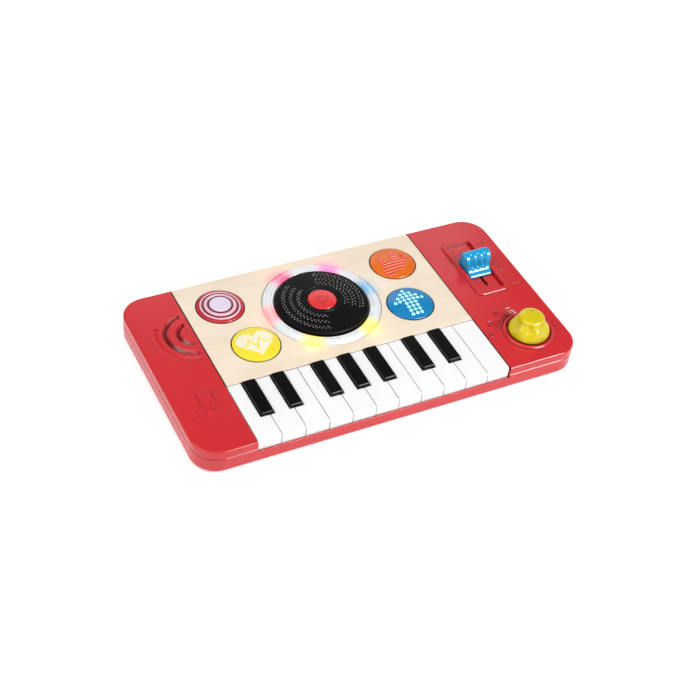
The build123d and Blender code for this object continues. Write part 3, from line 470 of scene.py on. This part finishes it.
RED = (0.545, 0.019, 0.025)
MATERIALS = {
    "red_shell": plastic("red_shell", RED, 0.2, drift=0.03, crevice_shade=0.95, marked=True),
    "birch": birch(),
    "milky_plastic": ring_lens(),
    "key_white": plastic("key_white", (0.80, 0.80, 0.805), 0.14, drift=0.01, worn=0.0, crevice_shade=0.4),
    "key_black": plastic("key_black", (0.003, 0.0025, 0.0025), 0.12, worn=0.0, Specular_IOR_Level=0.22),
    "disc_black": disc_rubber(),
    "centre_red": plastic("centre_red", (0.68, 0.028, 0.032), 0.24),
    "target_red": plastic("target_red", (0.52, 0.020, 0.030), 0.24),
    "crown_orange": plastic("crown_orange", (0.70, 0.135, 0.006), 0.26),
    "heart_yellow": plastic("heart_yellow", (0.80, 0.66, 0.030), 0.26),
    "arrow_blue": plastic("arrow_blue", (0.004, 0.195, 0.45), 0.22),
    "slider_blue": plastic("slider_blue", (0.004, 0.30, 0.58), 0.14),
    "knob_yellow": plastic("knob_yellow", (0.59, 0.48, 0.003), 0.22, crevice_shade=0.6),
    "bearing_plastic": plastic("bearing_plastic", (0.75, 0.74, 0.70), 0.4),
    "switch_black": plastic("switch_black", (0.03, 0.03, 0.032), 0.4),
    "steel": metal("steel", (0.62, 0.62, 0.61), 0.3),
    "spring_bronze": metal("spring_bronze", (0.72, 0.50, 0.26), 0.34),
    "circuit_board": circuit_board(),
    "silicone": soft_body("silicone", (0.45, 0.46, 0.48), 0.55, 900, 0.02),
    "foam": soft_body("foam", (0.08, 0.08, 0.085), 0.9, 1400, 0.12),
    "led_clear": plastic("led_clear", (0.8, 0.82, 0.84), 0.08, drift=0.02),
    "cell_jacket": cell_jacket(),
    "speaker_paper": soft_body("speaker_paper", (0.035, 0.033, 0.032), 0.85, 700, 0.08),
    "magnet": metal("magnet", (0.20, 0.20, 0.21), 0.5),
    "foot_rubber": soft_body("foot_rubber", (0.03, 0.03, 0.032), 0.8, 1100, 0.05),
}
TARGET_PINK = plastic("target_pink", (0.78, 0.46, 0.53), 0.3, drift=0.03, worn=0.1, crevice_shade=0.2)
TARGET_PALE = plastic("target_pale", (0.68, 0.60, 0.72), 0.3, drift=0.03, worn=0.1, crevice_shade=0.2)
# painted shade for the low bands between the target's raised rings
TARGET_GROOVE_SHADE = plastic("target_groove_shade", (0.17, 0.012, 0.035), 0.34, drift=0.05, worn=0.1)
HEART_WHITE = plastic("heart_white", (0.80, 0.745, 0.55), 0.34, drift=0.012, worn=0.0, crevice_shade=0.15)
HEART_LINE = plastic("heart_line", (0.80, 0.66, 0.10), 0.34, drift=0.05, worn=0.0)
CROWN_CORAL = plastic("crown_coral", (0.72, 0.050, 0.022), 0.34, drift=0.05, worn=0.1)
DOT_BLACK = plastic("dot_black", (0.045, 0.044, 0.043), 0.2, drift=0.1, worn=0.0, Specular_IOR_Level=0.9)
PLAY_RED = plastic("play_red", (0.47, 0.020, 0.026), 0.2, drift=0.05, worn=0.4)
# painted shade for the knob's pointer dot
KNOB_DIMPLE_SHADE = plastic("knob_dimple_shade", (0.30, 0.20, 0.004), 0.35, worn=0.0)
ARROW_PALE = plastic("arrow_pale", (0.42, 0.95, 1.0), 0.26, drift=0.03, worn=0.1, crevice_shade=0.2)

for part in frame["record"]["subparts"]:
    node = frame["nodes"][part["node"]]
    node.data.materials.clear()
    node.data.materials.append(MATERIALS[part["material_slot"]])


# ---------------------------------------------------------------- mesh building
def piece(name, bm, material, body, replaced=()):
    """Turns a finished bmesh, in mm, into a named piece that rides on a body."""
    bmesh.ops.scale(bm, vec=(MM, MM, MM), verts=bm.verts)
    bmesh.ops.recalc_face_normals(bm, faces=bm.faces)
    for face in bm.faces:
        face.smooth = True
    for edge in bm.edges:
        if edge.calc_face_angle(0) > SHARP:
            edge.smooth = False
    mesh = bpy.data.meshes.new(name)
    bm.to_mesh(mesh)
    bm.free()
    mesh.materials.append(material)
    made = bpy.data.objects.new(name, mesh)
    bpy.context.scene.collection.objects.link(made)
    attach(made, body)
    if replaced:
        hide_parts(*replaced)


def bridge(bm, a, b):
    """Quads between two rings of the same length."""
    for i in range(len(a)):
        j = (i + 1) % len(a)
        bm.faces.new((a[i], a[j], b[j], b[i]))


def closed_rings(bm, rings, low=None, high=None):
    """A closed solid through rings of points, with a fan at each end."""
    loops = [[bm.verts.new(p) for p in ring] for ring in rings]
    for a, b in zip(loops, loops[1:]):
        bridge(bm, a, b)
    for loop, tip in ((loops[0], low), (loops[-1], high)):
        centre = tip or tuple(sum(v.co[k] for v in loop) / len(loop) for k in range(3))
        top = bm.verts.new(centre)
        for i in range(len(loop)):
            bm.faces.new((loop[i], loop[(i + 1) % len(loop)], top))


def lathe(bm, centre, outline, steps):
    """A closed (radius, z) outline turned about an upright line."""
    loops = []
    for i in range(steps):
        a = 2 * pi * i / steps
        ring = [(centre[0] + r * cos(a), centre[1] + r * sin(a), z) for r, z in outline]
        loops.append([bm.verts.new(point) for point in ring])
    for i in range(steps):
        bridge(bm, loops[i], loops[(i + 1) % steps])


def dome_height(radius):
    """Height above TOP of a deck button's crown, on the arc that the CAD uses."""
    r1, z1 = BUTTON_RIM * 0.55, BUTTON_EDGE + (BUTTON_CROWN - BUTTON_EDGE) * 0.7
    r2, z2 = BUTTON_RIM, BUTTON_EDGE
    a = 2 * r1
    b = 2 * (z1 - BUTTON_CROWN)
    c = 2 * r2
    d = 2 * (z2 - BUTTON_CROWN)
    e = r1 * r1 + z1 * z1 - BUTTON_CROWN**2
    f = r2 * r2 + z2 * z2 - BUTTON_CROWN**2
    cx = (e * d - b * f) / (a * d - b * c)
    cz = (a * f - e * c) / (a * d - b * c)
    size = hypot(cx, BUTTON_CROWN - cz)
    return cz + sqrt(max(0.0, size * size - (radius - cx) ** 2))


def on_dome(centre, x, y, lift):
    return (centre[0] + x, centre[1] + y, TOP + dome_height(hypot(x, y)) + lift)


SINK = 0.35  # how far a raised mark reaches into the cap under it
LINE_BEVEL = 0.2
LINE_STEP = 1.2  # between the sections of a raised line


def badge(bm, centre, outline, core, lift, steps=6, bevel=0.25):
    """A raised mark with a star-shaped outline, following the crown of a button."""
    cx, cy = core
    reach = sum(hypot(x - cx, y - cy) for x, y in outline) / len(outline)
    inner = 1 - bevel / reach

    def ring(share, height):
        spots = [(cx + (x - cx) * share, cy + (y - cy) * share) for x, y in outline]
        return [on_dome(centre, x, y, height) for x, y in spots]

    rings = [ring(inner, -SINK), ring(1, -SINK), ring(1, lift - bevel * 0.8), ring(inner, lift)]
    for i in range(1, steps):
        rings.append(ring(inner * (1 - i / steps), lift))
    closed_rings(bm, rings, low=on_dome(centre, cx, cy, -SINK), high=on_dome(centre, cx, cy, lift))


def ribbon(bm, centre, points, width, lift, height=on_dome):
    """A raised line of one width along a path, with mitred corners."""
    path = [Vector(points[0])]
    for a, b in zip(points, points[1:]):
        a, b = Vector(a), Vector(b)
        count = max(1, round((b - a).length / LINE_STEP))
        path += [a.lerp(b, (k + 1) / count) for k in range(count)]
    section = ((-1, -SINK), (-1, lift - LINE_BEVEL), (LINE_BEVEL * 2 / width - 1, lift))
    section += tuple((-s, h) for s, h in reversed(section))
    rings = []
    for i, at in enumerate(path):
        before = (at - path[i - 1]).normalized() if i else (path[1] - at).normalized()
        after = (path[i + 1] - at).normalized() if i < len(path) - 1 else before
        along = (before + after).normalized()
        across = Vector((-along.y, along.x)) / max(0.35, along.dot(before))
        rings.append([height(centre, *(at + across * (width / 2 * s)), h) for s, h in section])
    closed_rings(bm, rings)


def circle(radius, steps, x=0.0, y=0.0):
    turns = [2 * pi * i / steps for i in range(steps)]
    return [(x + radius * cos(a), y + radius * sin(a)) for a in turns]


def band(bm, centre, inner, outer, lift, bevel=0.25):
    """A raised ring that follows the crown of a button."""
    at = [(inner, -SINK), (outer, -SINK), (outer, lift - bevel), (outer - bevel, lift)]
    at += [((inner + outer) / 2, lift), (inner + bevel, lift), (inner, lift - bevel)]
    lathe(bm, centre, [(r, TOP + dome_height(r) + h) for r, h in at], 128)


# ---------------------------------------------------------------- target button
bm = bmesh.new()
badge(bm, TARGET, circle(9.3, 96), (0, 0), 0.45)
piece("target_eye", bm, TARGET_PALE, "target_button")
bm = bmesh.new()
band(bm, TARGET, 11.3, 14.0, 0.45)
band(bm, TARGET, 16.0, 17.6, 0.45)
piece("target_pink_rings", bm, TARGET_PINK, "target_button")
# dark rings in the low bands between the raised rings: painted shade
bm = bmesh.new()
band(bm, TARGET, 9.2, 11.4, 0.06, bevel=0.02)
band(bm, TARGET, 13.9, 16.1, 0.06, bevel=0.02)
band(bm, TARGET, 17.5, 18.2, 0.06, bevel=0.02)
piece("target_groove_shade_rings", bm, TARGET_GROOVE_SHADE, "target_button")

# ---------------------------------------------------------------- heart button
heart = []
for i in range(120):
    t = 2 * pi * (i + 0.5) / 120
    heart.append((16.4 * sin(t) ** 3, 13 * cos(t) - 5 * cos(2 * t) - 2 * cos(3 * t) - cos(4 * t) + 0.6))
bm = bmesh.new()
badge(bm, HEART, heart, (0, 1.5), 0.25, steps=9)
piece("heart_plate", bm, HEART_WHITE, "heart_button")
PULSE = [(-14.5, -2.6), (-8.6, -2.3), (-5.4, 3.6), (-0.8, -7.3)]
PULSE += [(1.0, -0.6), (4.4, 3.4), (6.6, -1.9), (14.2, -0.6)]
bm = bmesh.new()
ribbon(bm, HEART, PULSE, 1.6, 0.45)
piece("heart_pulse_line", bm, HEART_LINE, "heart_button")

# ---------------------------------------------------------------- crown button
STRIPE_PITCH = 3.35
CROWN_ROWS = [
    # each row's stripes from the front one back: the band, then the three prongs
    [(-11.8, -4.6)],
    [(-13.0, 5.6)],
    [(-12.8, 8.8)],
    [(-12.2, 11.2)],
    [(-11.6, 13.2)],
    [(-11.2, -6.6), (-1.6, 6.6), (9.6, 14.2)],
    [(-11.0, -7.8), (-0.4, 6.8), (10.6, 14.4)],
    [(-10.8, -8.6), (0.2, 7.0)],
    [(0.6, 7.0)],
]
bm = bmesh.new()
for row, stripes in enumerate(CROWN_ROWS):
    y = -14.2 + STRIPE_PITCH * row
    for x0, x1 in stripes:
        ribbon(bm, CROWN, [(x0, y), (x1, y)], 2.25, 0.4)
piece("crown_stripes", bm, CROWN_CORAL, "crown_button")

# ---------------------------------------------------------------- arrow button
DOT_PITCH = 4.25
bm = bmesh.new()
for row, count in enumerate((3, 3, 3, 3, 7, 5, 3, 1)):
    for i in range(count):
        x = (i - (count - 1) / 2) * DOT_PITCH * 1.02 - 0.6
        y = -14.4 + DOT_PITCH * row
        badge(bm, ARROW, circle(1.65, 24, x, y), (x, y), 0.55, steps=3, bevel=0.45)
piece("arrow_dots", bm, ARROW_PALE, "arrow_button")


# ---------------------------------------------------------------- scratch disc
def surface(node):
    """A function that gives a node's top height under a plan point, in mm."""
    target = frame["nodes"][node]
    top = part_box(node)[1].z + 0.01

    def height(x, y):
        place = target.ray_cast(Vector((x * MM, y * MM, top)), Vector((0, 0, -1)))[1]
        return place.z / MM

    return height


disc_top = surface("scratch_disc")
DOT_ROWS = (21.0, 27.5, 34.0)
DOT_SECTORS = ((127, 256, 0.85), (-34, 79, 1.35))
bm = bmesh.new()
for row in DOT_ROWS:
    for start, end, half_gap in DOT_SECTORS:
        count = int(radians(end - start) * row / 1.75)
        for i in range(count + 1):
            a = radians(start + (end - start) * i / count)
            r = row + (half_gap if i % 2 else -half_gap)
            x, y = DISC[0] + r * cos(a), DISC[1] + r * sin(a)
            base = disc_top(x, y)
            rings = []
            for size, rise in ((0.85, -0.3), (0.85, 0.1), (0.7, 0.42), (0.4, 0.62)):
                rings.append([(x + u, y + v, base + rise) for u, v in circle(size, 10)])
            closed_rings(bm, rings, high=(x, y, base + 0.68))
piece("disc_grip_dots", bm, DOT_BLACK, "turntable")

button_top = surface("centre_button")
PLAY_R = 6.6
PLAY_TURN = -116  # degrees to its first corner
turns = [radians(PLAY_TURN) + k * 2 * pi / 3 for k in range(3)]
corners = [(PLAY_R * cos(a), PLAY_R * sin(a)) for a in turns]


def on_centre(centre, x, y, lift):
    x, y = centre[0] + x, centre[1] + y
    return (x, y, button_top(x, y) + lift)


bm = bmesh.new()
for k in range(3):
    a, b = Vector(corners[k]), Vector(corners[(k + 1) % 3])
    ribbon(bm, DISC, [a.lerp(b, 0.04), b.lerp(a, 0.04)], 1.2, 0.45, height=on_centre)
piece("play_mark", bm, PLAY_RED, "turntable_button")

# ---------------------------------------------------------------- light ring
RING_OUTLINE = [
    (41.5, DECK),
    (51.8, DECK),
    (51.8, TOP - 0.5),
    (51.5, TOP + 0.35),
    (50.7, TOP + 1.0),
    (49.9, TOP + 1.2),
    (49.5, TOP + 1.0),
    (49.1, TOP + 1.3),
    (48.2, TOP + 1.9),
    (46.8, TOP + 2.2),
    (45.4, TOP + 2.05),
    (44.6, TOP + 1.6),
    (44.2, TOP + 1.35),
    (43.8, TOP + 1.55),
    (43.0, TOP + 1.5),
    (42.0, TOP + 0.9),
    (41.5, TOP),
]
bm = bmesh.new()
lathe(bm, DISC, RING_OUTLINE, 192)
piece("ring_lens", bm, MATERIALS["milky_plastic"], "housing", ["light_ring"])

# ---------------------------------------------------------------- effect knob
FLUTES = 6
FLUTE_TURN = -6  # degrees to the first flute
KNOB_OUTLINE = [
    # height above TOP, radius, depth of the flutes
    (0.5, 16.8, 0.0),
    (0.6, 17.4, 0.0),
    (1.1, 17.8, 0.0),
    (2.0, 17.95, 0.1),
    (3.5, 17.85, 0.4),
    (5.0, 17.55, 0.9),
    (6.5, 17.1, 1.5),
    (8.0, 16.5, 2.5),
    (9.3, 15.8, 3.1),
    (10.6, 14.9, 3.3),
    (11.8, 13.9, 2.9),
    (13.0, 12.8, 2.0),
    (14.0, 12.1, 1.1),
    (15.0, 11.6, 0.5),
    (16.0, 11.3, 0.1),
    (16.8, 11.1, 0.0),
    (17.5, 10.5, 0.0),
    (18.0, 9.4, 0.0),
    (18.35, 7.4, 0.0),
    (18.5, 4.8, 0.0),
    (18.55, 2.4, 0.0),
]
STEPS = 180
rings = []
for rise, radius, depth in KNOB_OUTLINE:
    ring = []
    for i in range(STEPS):
        a = 2 * pi * i / STEPS
        r = radius - depth * (0.5 + 0.5 * cos(FLUTES * (a - radians(FLUTE_TURN)))) ** 1.5
        ring.append((KNOB[0] + r * cos(a), KNOB[1] + r * sin(a), TOP + rise))
    rings.append(ring)
bm = bmesh.new()
closed_rings(bm, rings)
piece("knob_body", bm, MATERIALS["knob_yellow"], "selector", ["effect_knob"])
# a dark dot where a small pointer dimple would be: painted shade
bm = bmesh.new()
spot = (KNOB[0] + 2.5, KNOB[1] + 5.6)
rings = []
for size, rise in ((1.1, 18.1), (1.1, 18.42), (0.85, 18.52), (0.4, 18.56)):
    rings.append([(spot[0] + u, spot[1] + v, TOP + rise) for u, v in circle(size, 24)])
closed_rings(bm, rings)
piece("knob_pointer", bm, KNOB_DIMPLE_SHADE, "selector")

# ---------------------------------------------------------------- slider cap
CAP_BASE = surface("top_shell")(SLIDER[0] - 9, SLIDER[1] - 25) + 0.3  # just clear of the sunk bed
CAP_HALF = 11.0
CAP_FLARE = 0.2  # how much wider the cap is at its ridge
CAP_LIP = 4.8  # height of the lip under the ribs
CAP_SIDE = [
    # y, height above the base, share of the grooves between the ribs
    (-11.9, 0.0, 0),
    (-12.2, 0.4, 0),
    (-12.2, 0.9, 0),
    (-12.0, 1.3, 0),
    (-10.9, 2.3, 0),
    (-10.4, 2.5, 0),
    (-9.1, 2.7, 0),
    (-8.8, 2.9, 0),
    (-8.7, 3.4, 0),
    (-8.5, 3.8, 0),
    (-7.4, 4.8, 0),
    (-6.9, 5.1, 0.1),
    (-6.4, 5.9, 0.7),
    (-6.0, 7.2, 1),
    (-5.7, 9.0, 1),
    (-5.4, 11.0, 1),
    (-5.0, 12.8, 1),
    (-4.4, 14.4, 1),
    (-3.4, 15.9, 1),
    (-2.1, 17.1, 0.8),
    (-0.8, 17.8, 0.4),
    (0.8, 18.2, 0),
    (2.6, 18.3, 0),
    (4.4, 18.1, 0),
    (5.8, 17.4, 0),
    (6.9, 16.0, 0),
    (7.9, 13.4, 0),
    (8.9, 10.2, 0),
    (10.0, 6.8, 0),
    (11.2, 3.6, 0),
    (11.8, 1.4, 0),
    (11.8, 0.4, 0),
    (11.6, 0.0, 0),
    (6.0, 0.0, 0),
    (0.0, 0.0, 0),
    (-6.0, 0.0, 0),
]
CAP_TALL = max(height for _, height, _ in CAP_SIDE)
RIB_PITCH = 5.7
GROOVE = 1.9  # depth between the ribs
CAP_TURN = 7.0  # height that the rounded ends shrink towards


def cap_ring(x, inset):
    """The cap's side outline at one place along its width, drawn in by the inset."""
    ring = []
    for y, z, share in CAP_SIDE:
        climb = max(0.0, (z - CAP_LIP) / (CAP_TALL - CAP_LIP))
        pull = inset * 0.9 / max(4.0, hypot(y, z - CAP_TURN))
        groove = (0.5 + 0.5 * cos(2 * pi * x / RIB_PITCH)) ** 1.5 if abs(x) < 1.5 * RIB_PITCH else 0.0
        y1 = y * (1 - pull) + GROOVE * share * groove
        z1 = CAP_TURN + (z - CAP_TURN) * (1 - pull) if z else 0.0
        crown = 0.5 * (1 - (x / CAP_HALF) ** 2) * climb**3
        wide = x * (1 + CAP_FLARE * climb)
        ring.append((SLIDER[0] + wide, SLIDER[1] + y1, CAP_BASE + max(0.0, z1) + crown))
    return ring


ends = [(CAP_HALF, 1.0), (CAP_HALF - 0.15, 0.6), (CAP_HALF - 0.5, 0.2), (CAP_HALF - 1.0, 0.0)]
flat = CAP_HALF - 1.0
stations = [(-x, inset) for x, inset in ends]
stations += [(-flat + 2 * flat * i / 80, 0.0) for i in range(1, 80)]
stations += list(reversed(ends))
bm = bmesh.new()
closed_rings(bm, [cap_ring(x, inset) for x, inset in stations])
piece("slider_cap_body", bm, MATERIALS["slider_blue"], "slider", ["slider_cap"])


# ---------------------------------------------------------------- marks by the knob
def on_cap(centre, x, y, lift):
    return (centre[0] + x, centre[1] + y, TOP + lift)


def arc(at, radius, start, end, steps=12):
    """Points along an arc, in degrees, about a point."""
    turns = [radians(start + (end - start) * i / steps) for i in range(steps + 1)]
    return [(at[0] + radius * cos(a), at[1] + radius * sin(a)) for a in turns]


ICON_LIFT = 0.9
ICON_W = 0.85
ICON_ARCS = [(24.2, 84, 152), (26.2, 86, 120), (28.2, 88, 112)]  # radius, start, end
TICK_TURNS = range(122, 164, 7)
ICON_SHAPES = [(94, 3), (117, 4), (143, 5), (168, 6)]  # degrees round the knob, sides
ICON_R = 33.5
bm = bmesh.new()
for radius, start, end in ICON_ARCS:
    ribbon(bm, KNOB, arc((0, 0), radius, start, end), ICON_W, ICON_LIFT, height=on_cap)
for turn in TICK_TURNS:
    a = radians(turn)
    tick = [(r * cos(a), r * sin(a)) for r in (26.2, 28.8)]
    ribbon(bm, KNOB, tick, ICON_W, ICON_LIFT, height=on_cap)
for turn, sides in ICON_SHAPES:
    a = radians(turn)
    spot = (ICON_R * cos(a), ICON_R * sin(a))
    outline = arc(spot, 2.5, turn, turn + 345, steps=sides)
    ribbon(bm, KNOB, outline, ICON_W, ICON_LIFT, height=on_cap)
    dot = arc(spot, 0.8, 0, 324, steps=9)
    rings = [[(KNOB[0] + x, KNOB[1] + y, TOP + z) for x, y in dot] for z in (-SINK, 0.6)]
    closed_rings(bm, rings, high=(KNOB[0] + spot[0], KNOB[1] + spot[1], TOP + 0.75))
piece("selector_icons", bm, MATERIALS["red_shell"], "housing")


# ---------------------------------------------------------------- floor, light, camera
def floor_material():
    """A pale matt floor that whitens with distance and is see-through from below."""
    p = Paint("studio_floor", (0.6, 0.6, 0.6), 0.8, Specular_IOR_Level=0.1)
    p.shader.inputs["Emission Color"].default_value = (1, 1, 1, 1)
    reach = p.node("ShaderNodeVectorMath")
    reach.operation = "LENGTH"
    p.feed(reach.inputs[0], p.place)
    p.set("Emission Strength", p.spread(reach.outputs["Value"], 0.5, 2.5, 0.55, 1.0))
    below = p.node("ShaderNodeNewGeometry").outputs["Backfacing"]
    see_through = p.node("ShaderNodeMixShader", Fac=below)
    p.feed(see_through.inputs[1], p.shader.outputs[0])
    p.feed(see_through.inputs[2], p.node("ShaderNodeBsdfTransparent").outputs[0])
    p.feed(p.tree.nodes["Material Output"].inputs["Surface"], see_through.outputs[0])
    mottle = p.noise(9, detail=4)
    p.set("Base Color", p.mix(mottle, (0.585, 0.585, 0.585), (0.615, 0.615, 0.615)))
    return p.material


FLOOR_REACH = 8.0  # metres from its middle to each side
FLOOR_GAP = 0.00005  # under the feet
bm = bmesh.new()
bmesh.ops.create_grid(bm, x_segments=2, y_segments=2, size=FLOOR_REACH)
mesh = bpy.data.meshes.new("studio_floor")
bm.to_mesh(mesh)
bm.free()
mesh.materials.append(floor_material())
floor = bpy.data.objects.new("studio_floor", mesh)
bpy.context.scene.collection.objects.link(floor)
floor.location.z = CAD_BOX[0].z - FLOOR_GAP

scene = bpy.context.scene
scene.view_settings.view_transform = "Standard"

# a white sky, bright near the horizon and dim overhead
world = bpy.data.worlds.new("studio")
scene.world = world
world.use_nodes = True
sky = world.node_tree.nodes["Background"]
sky.inputs["Color"].default_value = (1, 1, 1, 1)
direction = world.node_tree.nodes.new("ShaderNodeTexCoord").outputs["Generated"]
height = world.node_tree.nodes.new("ShaderNodeSeparateXYZ")
falloff = world.node_tree.nodes.new("ShaderNodeMapRange")
falloff.interpolation_type = "SMOOTHSTEP"
for socket, value in zip(SPREAD_SOCKETS, (0.10, 0.45, 1.12, 0.17)):
    falloff.inputs[socket].default_value = value
world.node_tree.links.new(direction, height.inputs[0])
world.node_tree.links.new(height.outputs["Z"], falloff.inputs["Value"])
world.node_tree.links.new(falloff.outputs[0], sky.inputs["Strength"])


def softbox(name, azimuth, elevation, distance, size, power, diffuse=True):
    """An area lamp aimed at the origin. Without diffuse, only its reflections show."""
    a, e = radians(azimuth), radians(elevation)
    away = Vector((sin(a) * cos(e), -cos(a) * cos(e), sin(e)))
    lamp = bpy.data.lights.new(name, "AREA")
    lamp.shape = "RECTANGLE"
    lamp.size, lamp.size_y = size
    lamp.energy = power
    lit = bpy.data.objects.new(name, lamp)
    scene.collection.objects.link(lit)
    lit.location = away * distance
    lit.rotation_mode = "QUATERNION"
    lit.rotation_quaternion = (-away).to_track_quat("-Z", "Y")
    lit.visible_camera = False
    lit.visible_diffuse = diffuse


softbox("key_softbox", 30, 46, 1.4, (0.3, 0.3), 11)
softbox("glint_strip", 36, 41, 1.4, (0.8, 0.6), 40, diffuse=False)
softbox("left_softbox", -85, 50, 1.5, (1.0, 1.0), 10)
softbox("top_softbox", -60, 80, 1.6, (1.2, 1.2), 7)
softbox("back_softbox", 157, 33, 1.45, (0.8, 0.45), 1.6)

# the ring's own light on the wood beside it
for turn, colour in LAMPS:
    lamp = bpy.data.lights.new("ring_spill", "POINT")
    lamp.color = colour
    lamp.energy = SPILL_POWER
    lamp.shadow_soft_size = 3 * MM
    lit = bpy.data.objects.new("ring_spill", lamp)
    scene.collection.objects.link(lit)
    a = radians(turn)
    spot = (DISC[0] + SPILL_R * cos(a), DISC[1] + SPILL_R * sin(a), TOP + SPILL_RISE)
    lit.location = Vector(spot) * MM
    lit.visible_camera = False

CAMERA = {"azimuth": -31.62, "elevation": 43.35, "roll": 7.64, "distance": 1.20945, "lens": 74.30}
AIM = Vector((-0.0141, -0.02627, 0.0243))
azimuth, elevation, roll = (radians(CAMERA[k]) for k in ("azimuth", "elevation", "roll"))
back = Vector((sin(azimuth) * cos(elevation), -cos(azimuth) * cos(elevation), sin(elevation)))
right = (-back).cross(Vector((0, 0, 1))).normalized()
above = right.cross(-back)
turned_right = right * cos(roll) + above * sin(roll)
turned_up = above * cos(roll) - right * sin(roll)
camera = bpy.data.objects.new("camera", bpy.data.cameras.new("camera"))
scene.collection.objects.link(camera)
camera.data.lens = CAMERA["lens"]
camera.data.sensor_width = 36.0
camera.data.clip_start = 0.05
camera.data.clip_end = 20.0
rotation = Matrix((turned_right, turned_up, back)).transposed().to_4x4()
camera.matrix_world = Matrix.Translation(AIM + back * CAMERA["distance"]) @ rotation
scene.camera = camera
